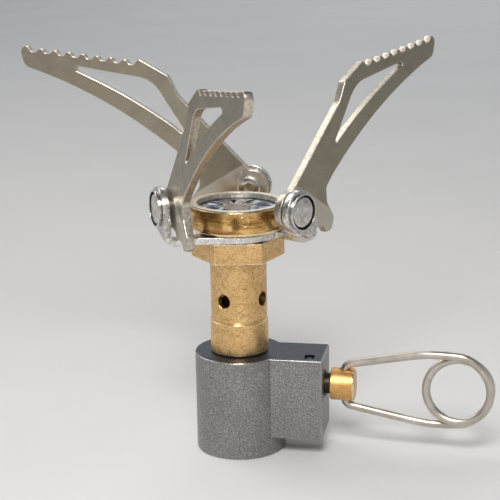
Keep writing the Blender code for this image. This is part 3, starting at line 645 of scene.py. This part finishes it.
def place(obj, body, node, slot):
    """Lets a finished piece ride on its body in its CAD node's stead."""
    normals = obj.modifiers.new("normals", "WEIGHTED_NORMAL")
    normals.keep_sharp = True
    bake(obj)
    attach(obj, body)
    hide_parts(node)


def rod(radius, start, end, steps=32, far_radius=None):
    """A plain cutter between two points in mm."""
    start, end = Vector(start) * MM, Vector(end) * MM
    shape = bmesh.new()
    bmesh.ops.create_cone(shape, cap_ends=True, segments=steps, radius1=radius * MM,
                          radius2=(far_radius or radius) * MM, depth=(end - start).length)
    for face in shape.faces:
        face.smooth = len(face.verts) == 4
    turn = (end - start).to_track_quat("Z", "Y").to_matrix().to_4x4()
    bmesh.ops.transform(shape, matrix=Matrix.Translation((start + end) / 2) @ turn,
                        verts=shape.verts)
    return object_from("cutter", shape, [])


def block_shape(low, high, edge=0.0):
    """A box in mm, with its edges rounded in slot 1 where a radius is given."""
    low, high = Vector(low) * MM, Vector(high) * MM
    shape = bmesh.new()
    bmesh.ops.create_cube(shape, size=1.0)
    bmesh.ops.scale(shape, vec=high - low, verts=shape.verts)
    bmesh.ops.translate(shape, vec=(low + high) / 2, verts=shape.verts)
    if edge:
        made = bmesh.ops.bevel(shape, geom=shape.edges[:], offset=edge * MM, segments=3,
                               profile=0.5, affect="EDGES")
        # The rounded edges take slot 1, the lighter edge material with a painted highlight.
        for face in made["faces"]:
            face.material_index = 1
            face.smooth = True
    return shape


def mark_top(shape, slot):
    for face in shape.faces:
        if face.material_index == 0 and face.normal.z > 0.9:
            face.material_index = slot
            face.smooth = False


def facing_out(obj, azimuth, distance=0.0):
    """Stands a piece on a pivot's axis: its X along the tangent, its Y up and its Z outwards."""
    obj.rotation_euler = (math.pi / 2, 0, math.radians(azimuth) + math.pi / 2)
    obj.location = (*polar(distance * MM, azimuth), PIVOT * MM)


# --------------------------------------------------------------- valve body

def thread_cutter():
    """The canister's socket: a threaded hollow with a chamfered mouth and a relief at its end."""
    bottom, mouth, relief = -0.4, 0.45, 6.1
    pitch, depth = 0.907, 0.42
    steps, rows = 72, 66
    shape = bmesh.new()
    rings = []
    for j in range(rows + 1):
        z = bottom + (SOCKET_DEPTH - bottom) * j / rows
        ring = []
        for i in range(steps):
            crest = 1 - abs(2 * ((z / pitch - i / steps) % 1.0) - 1)
            cut = min(1.0, 1.25 * crest) if z < relief else 1.0
            radius = SOCKET_RADIUS - depth * (1 - cut)
            if z < mouth:
                radius = max(radius, SOCKET_RADIUS + 0.9 * (mouth - z))
            ring.append(shape.verts.new((*polar(radius * MM, 360 * i / steps), z * MM)))
        rings.append(ring)
    wrapped(shape, rings)
    shape.faces.new(rings[0])
    shape.faces.new(rings[-1])
    bmesh.ops.recalc_face_normals(shape, faces=shape.faces)
    return object_from("thread", shape, [BODY_TOP])


def make_valve_body():
    top, above, past_end = BODY_HEIGHT, BODY_HEIGHT + 1, BLOCK_END + 1
    barrel = turned_shape(rounded([
        (0, top, 0), (BODY_RADIUS, top, 0.2), (BODY_RADIUS, 0, 0.2), (0, 0, 0),
    ], math.radians(30)))
    # Upward faces take BODY_TOP, painted darker as a dark reflection.
    mark_top(barrel, 2)
    body = object_from("stove_body", barrel, [BODY, BODY_EDGE, BODY_TOP, BODY_RECESS_SHADE])
    block = block_shape((0, -BLOCK_HALF_WIDTH, BLOCK_BOTTOM), (BLOCK_END, BLOCK_HALF_WIDTH, top), 0.2)
    # Upward faces take BODY_TOP, painted darker as a dark reflection.
    mark_top(block, 2)
    combined(body, [object_from("block", block, [BODY, BODY_EDGE, BODY_TOP])], "UNION")
    inlet = rod(1.65, (0, 0, 5), (0, 0, 9.8))
    jet_seat = rod(2.6, (0, 0, 13.3), (0, 0, 15))
    tube_seat = rod(4.1, (0, 0, TUBE_FOOT), (0, 0, above), 64)
    bore = rod(SPINDLE_BORE, (4.4, 0, SPINDLE), (past_end, 0, SPINDLE), 48)
    keeper_hole = rod(0.55, (KEEPER_X, KEEPER_Y, 8.6), (KEEPER_X, KEEPER_Y, above), 20)
    chamfer = rod(SPINDLE_BORE, (BLOCK_END - 0.25, 0, SPINDLE), (BLOCK_END + 0.25, 0, SPINDLE), 48,
                  SPINDLE_BORE + 0.5)
    # The bore's chamfer takes slot 1, BODY_EDGE, a painted highlight round the bore.
    for face in chamfer.data.polygons:
        face.material_index = 1
    # The keeper slot's recess takes the fourth material, painted near black as shade.
    recess = block_shape((KEEPER_X - 0.85, KEEPER_Y - 1, top - 1.5),
                         (KEEPER_X + 0.85, KEEPER_Y + 1, above))
    for face in recess.faces:
        face.material_index = 3
    keeper_slot = object_from("keeper_slot", recess, [])
    combined(body, [thread_cutter(), inlet, jet_seat, tube_seat, bore, keeper_hole, chamfer,
                    keeper_slot])
    body.data.set_sharp_from_angle(angle=math.radians(35))
    place(body, "stove", "valve_body", "body_anodised")


# -------------------------------------------------------------- mixing tube

def make_collar(top):
    """The tube's hexagon, one corner of it at the azimuth below."""
    across_flats, corner_azimuth = 13.8, -48.4
    hexagon = [(*polar(across_flats / math.sqrt(3), 60 * i + corner_azimuth), 0.12) for i in range(6)]
    collar = plate_shape([rounded(hexagon)], (top - COLLAR_BOTTOM) * MM, 0.24 * MM, 2)
    bmesh.ops.translate(collar, vec=(0, 0, (top + COLLAR_BOTTOM) / 2 * MM), verts=collar.verts)
    for face in collar.faces:
        if abs(face.normal.z) < 0.1:
            face.material_index = 0
    return object_from("collar", collar, [TUBE, TUBE_EDGE], flat_caps=True)


def make_mixing_tube():
    shoulder, foot = BODY_HEIGHT + 0.05, TUBE_FOOT + 0.05
    lower, upper, neck, spigot = 5.0, 4.85, 4.4, 4.04
    neck_top, neck_bottom = 40.9, 36.0
    groove, groove_radius = 23.35, 4.62
    tube = object_from("tube", turned_shape(rounded([
        (0, neck_top, 0), (neck, neck_top, 0.3), (neck, neck_bottom, 0), (upper, neck_bottom, 0),
        (upper, groove + 0.37, 0.08), (groove_radius, groove + 0.2, 0.05),
        (groove_radius, groove, 0.05), (lower, groove - 0.05, 0.12),
        (lower, shoulder, 0.35), (spigot, shoulder, 0), (spigot, foot, 0), (0, foot, 0),
    ], math.radians(30)), 128), [TUBE, TUBE_EDGE])
    combined(tube, [make_collar(BASE_TOP - BASE_THICKNESS - 0.05)], "UNION")
    wide, narrow = 3.9, 3.2
    bore = turned_shape([Vector(p) * MM for p in (
        (0, neck_top + 1.1), (wide, neck_top + 1.1), (wide, BODY_HEIGHT + 2.7),
        (narrow, BODY_HEIGHT + 2), (narrow, 13), (0, 13),
    )], marks=False)
    cutters = [object_from("bore", bore, [TUBE])]
    lift = Vector((0, 0, 27.3))
    for side in range(4):
        out = outwards(90 * side - 21)
        cutters.append(rod(1.2, out * 2 + lift, out * 7 + lift))
        cutters.append(rod(1.2, out * 4.72 + lift, out * 5.12 + lift, far_radius=1.6))
    combined(tube, cutters)
    tube.data.set_sharp_from_angle(angle=math.radians(30))
    place(tube, "stove", "mixing_tube", "brass_matte")


# ------------------------------------------------------------------- burner

def make_burner_cup():
    rim, bottom = CUP_HIGH.z / MM, CUP_LOW.z / MM
    floor, seat = bottom + 1.5, 42.35
    wall, ledge = 7.25, 6.5
    cup = object_from("cup", turned_shape(rounded([
        (wall, rim, 0.12), (CUP_RADIUS, rim, 0.2), (CUP_RADIUS, bottom, 0.5), (NECK_HOLE, bottom, 0),
        (NECK_HOLE, floor, 0), (ledge, floor, 0.1), (ledge, seat, 0.05), (wall, seat, 0),
    ], math.radians(25)), 128), [CUP, CUP_EDGE])
    out = outwards(-71)
    lift = Vector((0, 0, PIVOT - 1.7))
    ring = turned_shape(rounded([
        (0.55, 0.5, 0), (1.1, 0.5, 0), (1.02, -0.3, 0.08), (0.6, -0.3, 0.08),
    ]), 32)
    punch = object_from("punch", ring, [CUP, CUP_EDGE])
    punch.rotation_euler = out.to_track_quat("Z", "Y").to_euler()
    punch.location = (out * CUP_RADIUS + lift) * MM
    centre_mark = rod(0.34, out * (CUP_RADIUS - 0.12) + lift, out * 9 + lift, 20)
    combined(cup, [punch, centre_mark])
    cup.data.set_sharp_from_angle(angle=math.radians(35))
    place(cup, "stove", "burner_cup", "brass")


def make_burner_plate():
    """A thin disc with pointed radial slots, whose long edges are turned up into lips."""
    slots, inner, outer, half, rim = 8, 2.4, 6.0, 0.72, 7.0
    radii = [0.001, 0.8, 1.6, 2.0] + [inner + 0.3 * i for i in range(12)]
    radii += [5.9, outer, 6.1, 6.4, rim]
    across = [0.0, 0.1, 0.22, 0.36, 0.55, 0.8]
    shape = bmesh.new()

    def slot_half(r):
        if not inner < r <= outer:
            return 0.0
        return half * min(1.0, (r - inner) / 1.3) ** 0.8

    def lifted(r, away):
        """Height of the sheet this far from the slot's edge, in mm."""
        lip = max(0.0, 1 - away / 0.42) ** 1.3
        along = min(1.0, max(0.0, (r - inner + 0.1) / 0.7)) * min(1.0, max(0.0, (outer - r) / 0.5))
        return 0.30 * lip * along + 0.12 * (1 - (r / rim) ** 2)

    def point(r, angle, height):
        return shape.verts.new((r * MM * math.cos(angle), r * MM * math.sin(angle), height * MM))

    sector = 2 * math.pi / slots
    for number in range(slots):
        middle = (number + 0.5) * sector
        rows = []
        for r in radii:
            edge = slot_half(r)
            reach = max(sector / 2 * r - edge, 0.0)
            steps = sorted([min(a, reach) for a in across] + [reach * 0.75, reach])
            rows.append([
                [point(r, middle + side * (edge + a) / r, lifted(r, a)) for a in steps]
                for side in (-1, 1)
            ])
        for here, further in zip(rows, rows[1:]):
            for low, high in zip(here, further):
                for i in range(len(low) - 1):
                    shape.faces.new((low[i], low[i + 1], high[i + 1], high[i]))
        for r, here, further in zip(radii, rows, rows[1:]):
            if r >= outer:
                shape.faces.new((here[0][0], here[1][0], further[1][0], further[0][0]))
    bmesh.ops.remove_doubles(shape, verts=shape.verts, dist=0.004 * MM)
    bmesh.ops.dissolve_degenerate(shape, dist=0.001 * MM, edges=shape.edges)
    bmesh.ops.recalc_face_normals(shape, faces=shape.faces)
    if sum(f.normal.z for f in shape.faces) < 0:
        bmesh.ops.reverse_faces(shape, faces=shape.faces)
    for face in shape.faces:
        face.smooth = True
    disc = object_from("burner_disc", shape, [PLATE], 40)
    solid = disc.modifiers.new("thickness", "SOLIDIFY")
    solid.thickness = 0.3 * MM
    solid.offset = -1
    bake(disc)
    disc.location.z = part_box("burner_plate")[0].z + 0.42 * MM
    place(disc, "stove", "burner_plate", "burner_steel")


def make_plate_ring():
    """The ring over the plate: a band inside the cup, and a thin flange over its rim."""
    low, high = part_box("plate_ring")
    outer, bottom, top = high.x / MM, low.z / MM, high.z / MM
    inner, band, flange = 6.87, 7.15, CUP_HIGH.z / MM + 0.05
    ring = object_from("inner_band", turned_shape(rounded([
        (inner, top, 0.1), (outer, top, 0.1), (outer, flange, 0.04), (band, flange, 0),
        (band, bottom, 0.05), (inner, bottom, 0.05),
    ], math.radians(30)), 128), [RIM, RIM])
    place(ring, "stove", "plate_ring", "bracket_steel")


# ------------------------------------------------------- base and its ears

BEND_INSIDE = 0.6
BEND_MIDDLE = BEND_INSIDE + BASE_THICKNESS / 2
BEND_START = EAR_INNER - BEND_INSIDE
BEND_END = BEND_START + BEND_MIDDLE * math.pi / 2


def base_blank():
    """The flat blank: a hub with three feet, and the neck's and the rivets' holes."""
    hub, back, front = 7.1, 1.9, 4.1

    def ear(s, h):
        """Where the ear's point (s, h) from its rivet lies in the flat blank."""
        return BEND_END + (PIVOT + h) - (BASE_TOP + BEND_INSIDE), s

    knee = Vector((8.5, 4.6))
    tangent = math.degrees(math.atan2(knee.y, knee.x) + math.acos(hub / knee.length))
    meeting = math.degrees(math.asin(back / hub)) + 120
    third = [(math.sqrt(hub ** 2 - back ** 2), back, 0.5), (*ear(back, -4.4), 0.8)]
    third += [(*ear(x, y), 0.0) for x, y, _ in arc(3.65, 246, -6, 43)]
    third += [(*ear(front, -1.6), 0.7), (BEND_START - 0.6, front, 0.0), (knee.x, knee.y, 1.5)]
    third += arc(hub, tangent, meeting - 3, 14)
    outline, holes = [], [ring_points(NECK_HOLE, 96)]
    for azimuth in PIVOT_AZIMUTHS:
        turn = Matrix.Rotation(math.radians(azimuth), 2)
        outline += [(*(turn @ Vector(corner[:2])), corner[2]) for corner in third]
        rivet = Vector(ear(0, 0)) * MM
        holes.append([turn @ (rivet + p) for p in ring_points(RIVET_HOLE, 40)])
    return plate_shape([rounded(outline)] + holes, BASE_THICKNESS * MM, 0.14 * MM)


def score_bends(shape, rows=8):
    """Cuts edges across each foot where it will bend."""
    for azimuth in PIVOT_AZIMUTHS:
        out = outwards(azimuth)
        for i in range(rows + 1):
            cut = out * (BEND_START + (BEND_END - BEND_START) * i / rows) * MM
            near = [f for f in shape.faces if f.calc_center_median().dot(out) > 6 * MM]
            edges = dict.fromkeys(e for f in near for e in f.edges)
            corners = dict.fromkeys(v for f in near for v in f.verts)
            bmesh.ops.bisect_plane(shape, geom=[*near, *edges, *corners], plane_co=cut,
                                   plane_no=out, dist=1e-7)


def bend_up(shape):
    """Turns each foot up over the bend, with the sheet's middle at its own length."""
    start, middle, end = BEND_START * MM, BEND_MIDDLE * MM, BEND_END * MM
    for vertex in shape.verts:
        for out in map(outwards, PIVOT_AZIMUTHS):
            along = vertex.co.dot(out)
            if along <= start:
                continue
            aside = vertex.co - out * along
            inside = middle - vertex.co.z
            bend = min((along - start) / middle, math.pi / 2)
            vertex.co = aside + out * (start + inside * math.sin(bend))
            vertex.co.z = middle - inside * math.cos(bend) + max(0.0, along - end)
            break


def make_base():
    shape = base_blank()
    score_bends(shape)
    bend_up(shape)
    bmesh.ops.translate(shape, vec=(0, 0, (BASE_TOP - BASE_THICKNESS / 2) * MM), verts=shape.verts)
    base = object_from("base", shape, [BASE, BASE_EDGE], 40)
    place(base, "stove", "support_base", "bracket_steel")


# ------------------------------------------------------------- pot supports

def support_outline():
    """From the pivot at the origin: heel, lower edge, tip, teeth, upper edge, round end."""
    teeth, pitch, fall = 9, 2.545, 0.3
    corners = [(4.4, -3.2, 0.4), (5.0, -4.1, 0.4), (8.1, -4.2, 0.5), (8.8, -5.4, 0.3),
               (10.3, -5.3, 0.9), (11.05, -3.0, 1.5), (9.1, -0.2, 1.0), (8.9, 2.4, 1.0)]
    corners += bulged((9.9, 3.6), (39.6, 20.9), 1.75, 24)
    corners += [(40.35, 21.1, 1.7), (41.07, 24.3, 1.15)]
    for i in range(teeth):
        x, y = 39.75 - pitch * i, 24.99 - fall * i
        corners.append((x, y, 0.6))
        if i < teeth - 1:
            corners += [(x - 0.82, y - 1.22, 0.5), (x - 1.7, y - 1.28, 0.5)]
    corners += [(14.1, 19.6, 1.2), (12.6, 16.3, 5.0), (-0.2, 3.1, 0.6)]
    corners += arc(3.35, 112, 300, 32)
    return rounded(corners)


def support_window():
    corners = [(10.2, 8.0, 0.4)]
    corners += bulged((11.8, 9.5), (30.0, 20.0), 0.6, 12)
    corners += [(31.0, 20.5, 0.2), (30.4, 21.15, 0.4), (17.1, 18.95, 5.5)]
    return rounded(corners)


def make_pot_supports():
    outlines = [support_outline(), support_window(), ring_points(RIVET_HOLE, 40)]
    for number, azimuth in enumerate(PIVOT_AZIMUTHS, 1):
        shape = plate_shape(outlines, ARM_THICKNESS * MM, 0.16 * MM)
        arm = object_from(f"arm_{number}", shape, [SUPPORT, SUPPORT_EDGE], 40, flat_caps=True)
        facing_out(arm, azimuth, ARM_INNER + ARM_THICKNESS / 2)
        place(arm, f"support_{number}", f"pot_support_{number}", "support_steel")


# ------------------------------------------------------- rivets and washers

CLEARANCE = 0.05


def rivet_shape():
    """A rivet with a raised face and a groove in its head painted dark as shade, and its tail inside
    the arm.
    """
    under_head = EAR_INNER + BASE_THICKNESS + CLEARANCE
    groove, head, tail_top = under_head + 0.07, under_head + 0.57, ARM_INNER - CLEARANCE
    raised, groove_in, groove_out, edge, tail = 2.5, 2.55, 2.86, 3.1, 2.05
    shape = turned_shape(rounded([
        (0, head - 0.12, 0), (raised, head - 0.16, 0.25), (groove_in, groove, 0.05),
        (groove_out, groove, 0.05), (groove_out, head, 0.05),
        (edge, head, 0.12), (edge, under_head, 0.06), (RIVET_RADIUS, under_head, 0),
        (RIVET_RADIUS, tail_top, 0), (tail, tail_top, 0.06), (tail, tail_top - 0.6, 0.3),
        (0.9, tail_top - 0.55, 0.2), (0, tail_top - 0.3, 0),
    ], math.radians(22)), 72)
    # The groove's faces take the third material, painted dark as shade.
    for face in shape.faces:
        centre = face.calc_center_median() / MM
        in_groove = raised < centre.xy.length < groove_out + 0.02
        if in_groove and groove - 0.02 < centre.z < groove + 0.28:
            face.material_index = 2
    return shape


def make_rivets():
    ear_side, arm_side, washer_radius = EAR_INNER, ARM_INNER + ARM_THICKNESS, 2.3
    washer_profile = rounded([
        (washer_radius, ear_side - CLEARANCE, 0.1), (washer_radius, arm_side + CLEARANCE, 0.1),
        (RIVET_HOLE, arm_side + CLEARANCE, 0), (RIVET_HOLE, ear_side - CLEARANCE, 0),
    ], math.radians(30))
    for number, azimuth in enumerate(PIVOT_AZIMUTHS, 1):
        rivet = object_from(f"rivet_head_{number}", rivet_shape(), [RIVET, BASE_EDGE, GROOVE_SHADE])
        facing_out(rivet, azimuth)
        place(rivet, "stove", f"rivet_{number}", "bracket_steel")
        shape = turned_shape(washer_profile, 64)
        washer = object_from(f"washer_{number}", shape, [BASE, BASE_EDGE])
        facing_out(washer, azimuth)
        place(washer, "stove", f"rivet_washer_{number}", "bracket_steel")


# ------------------------------------------------------- spindle and handle

def make_spindle():
    stem, land, seal_groove, needle = 1.8, 2.4, 1.6, 1.0
    shape = turned_shape(rounded([
        (0, GRIP_END, 0), (GRIP_RADIUS, GRIP_END, 0.3), (GRIP_RADIUS, GRIP_START, 0.18),
        (stem, GRIP_START, 0), (stem, 10.9, 0), (land, 10.9, 0), (land, 10.0, 0),
        (seal_groove, 10.0, 0), (seal_groove, 8.7, 0), (land, 8.7, 0), (land, 5.3, 0),
        (needle, 5.3, 0), (needle, 3.6, 0), (0.2, 2.2, 0), (0, 2.2, 0),
    ], math.radians(30)))
    bmesh.ops.rotate(shape, matrix=Matrix.Rotation(math.pi / 2, 3, "Y"), verts=shape.verts)
    bmesh.ops.translate(shape, vec=(0, 0, SPINDLE * MM), verts=shape.verts)
    spindle = object_from("valve_spindle", shape, [GRIP, CUP_EDGE, STEM_SHADE])
    hole, mouth = 0.82, 1.15
    cutters = [
        rod(hole, (HINGE, 0, SPINDLE - 5), (HINGE, 0, SPINDLE + 5)),
        rod(hole, (HINGE, 0, SPINDLE + 2.45), (HINGE, 0, SPINDLE + 2.75), far_radius=mouth),
        rod(mouth, (HINGE, 0, SPINDLE - 2.75), (HINGE, 0, SPINDLE - 2.45), far_radius=hole),
    ]
    for side in (-1, 1):
        low, high = sorted((side * 2.7, side * 5))
        flat = block_shape((GRIP_START - 0.2, -5, SPINDLE + low), (GRIP_END + 2, 5, SPINDLE + high))
        cutters.append(object_from("flat", flat, []))
    combined(spindle, cutters)
    # The neck left of the grip takes the third material, painted dark as shade.
    for face in spindle.data.polygons:
        if face.center.x < (GRIP_START - 0.05) * MM:
            face.material_index = 2
    spindle.data.set_sharp_from_angle(angle=math.radians(35))
    place(spindle, "spindle", "spindle", "brass")


def handle_points():
    """The wire's centre line from its upper end in the spindle, round the loop, to its lower."""
    turns, centre, radius, leg_height = 1.5, 19.42, 5.47, 6.59
    depth = 1.56 * turns / 2
    upper = [Vector((0, 0, z)) for z in (1.2, 1.6, 2.0)]
    for point in rounded([
        (0, 2.1, 0), (0, 3.6, 1.5), (13.7, leg_height, 14), (17.2, leg_height, 0),
    ], math.radians(4)):
        x, up = point / MM
        t = x / centre
        upper.append(Vector((x, -depth * t * t * (3 - 2 * t), up)))
    loop = []
    count = 150
    for i in range(count + 1):
        t = i / count
        quarters = min(1, min(t, 1 - t) * turns * 4)
        reach = radius + (leg_height - radius) * (1 - quarters) ** 2
        along, up = polar(reach, 90 - 360 * turns * t)
        loop.append(Vector((centre + along, depth * (2 * t - 1), up)))
    lower = [Vector((p.x, -p.y, -p.z)) for p in reversed(upper)]
    return [p * MM for p in upper + loop + lower]


def smoothed(points):
    inner = [(a + 2 * b + c) / 4 for a, b, c in zip(points, points[1:], points[2:])]
    return [points[0], *inner, points[-1]]


def make_handle():
    radius, sides = 0.74 * MM, 24
    points = handle_points()
    for _ in range(3):
        points = smoothed(points)
    shape = bmesh.new()
    across = Vector((0, 1, 0))
    rings = []
    for i, here in enumerate(points):
        ahead = (points[min(i + 1, len(points) - 1)] - points[max(i - 1, 0)]).normalized()
        across = (across - ahead * across.dot(ahead)).normalized()
        up = ahead.cross(across)
        rings.append([
            shape.verts.new(here + (across * math.cos(t) + up * math.sin(t)) * radius)
            for t in [2 * math.pi * k / sides for k in range(sides)]
        ])
    wrapped(shape, rings)
    shape.faces.new(rings[0]).smooth = True
    shape.faces.new(rings[-1]).smooth = True
    bmesh.ops.recalc_face_normals(shape, faces=shape.faces)
    handle = object_from("handle_wire", shape, [WIRE], 40)
    handle.location = (HINGE * MM, 0, SPINDLE * MM)
    handle.rotation_euler = (0, 0, math.radians(-2.4))
    place(handle, "handle", "wire_handle", "wire_steel")


# ------------------------------------------- CAD nodes that are kept as they are

def finish_hidden_nodes():
    for name, material in (
        ("inlet_pin", GRIP), ("inlet_seal", RUBBER), ("gas_filter", SINTERED), ("jet", GRIP),
        ("keeper_pin", PIN), ("burner_screen", GAUZE), ("spindle_seal", RUBBER),
    ):
        slots = frame["nodes"][name].data.materials
        slots.clear()
        slots.append(material)


# ------------------------------------------------------ floor, light, camera

def make_floor():
    shape = bmesh.new()
    rings = [
        [shape.verts.new((*polar(radius, 360 * i / 64), 0)) for i in range(64)]
        for radius in (0.3, 1.0, 2.5, 5.0)
    ]
    shape.faces.new(rings[0])
    wrapped(shape, rings)
    bmesh.ops.recalc_face_normals(shape, faces=shape.faces)
    if shape.faces[:][0].normal.z < 0:
        bmesh.ops.reverse_faces(shape, faces=shape.faces)
    floor = object_from("floor", shape, [pale_floor()])
    floor.location.z = -0.02 * MM


def softbox(name, place_m, aim_m, size, power, colour, spread):
    light = bpy.data.lights.new(name, "AREA")
    light.shape = "RECTANGLE"
    light.size, light.size_y = size
    light.energy = power
    light.color = colour
    light.spread = math.radians(spread)
    obj = bpy.data.objects.new(name, light)
    obj.location = place_m
    obj.rotation_euler = (Vector(aim_m) - Vector(place_m)).to_track_quat("-Z", "Y").to_euler()
    bpy.context.scene.collection.objects.link(obj)


def make_studio():
    softbox("key", (0.04, -0.46, 0.46), (0.03, -0.17, 0.0), (0.22, 0.22), 1.2, (1.0, 0.97, 0.93), 95)
    softbox("side", (-0.54, 0.27, 0.70), (0.0, 0.0, 0.04), (0.6, 0.75), 0.85, (1.0, 0.98, 0.95), 80)
    softbox("back", (0.05, 1.00, 0.80), (0.0, 0.75, 0.0), (0.9, 0.5), 2.4, (0.97, 0.985, 1.0), 130)
    world = bpy.data.worlds.new("studio")
    world.use_nodes = True
    tree = world.node_tree
    height = tree.nodes.new("ShaderNodeSeparateXYZ")
    tree.links.new(tree.nodes.new("ShaderNodeTexCoord").outputs["Generated"], height.inputs["Vector"])
    ramp = tree.nodes.new("ShaderNodeValToRGB")
    ramp.color_ramp.elements[0].color = (0.62, 0.64, 0.68, 1.0)
    ramp.color_ramp.elements[1].color = (0.13, 0.135, 0.15, 1.0)
    ramp.color_ramp.elements[1].position = 0.75
    tree.links.new(height.outputs["Z"], ramp.inputs["Fac"])
    tree.links.new(ramp.outputs["Color"], tree.nodes["Background"].inputs["Color"])
    bpy.context.scene.world = world
    bpy.context.scene.view_settings.view_transform = "Standard"


def make_camera():
    """A long lens from the front, a little above the burner."""
    place_m = (0.04711, -0.23014, 0.09703)
    right = Vector((0.98212215, 0.18741915, -0.0176111))
    ahead = Vector((-0.18568473, 0.94914047, -0.25427061))
    turn = Matrix((right, right.cross(ahead), -ahead)).transposed()
    camera = bpy.data.cameras.new("camera")
    camera.sensor_width = 36.0
    camera.lens = 102.3
    camera.clip_start, camera.clip_end = 0.01, 20.0
    obj = bpy.data.objects.new("camera", camera)
    obj.matrix_world = Matrix.Translation(place_m) @ turn.to_4x4()
    bpy.context.scene.collection.objects.link(obj)
    bpy.context.scene.camera = obj


make_valve_body()
make_mixing_tube()
make_burner_cup()
make_burner_plate()
make_plate_ring()
make_base()
make_pot_supports()
make_rivets()
make_spindle()
make_handle()
finish_hidden_nodes()
make_floor()
make_studio()
make_camera()
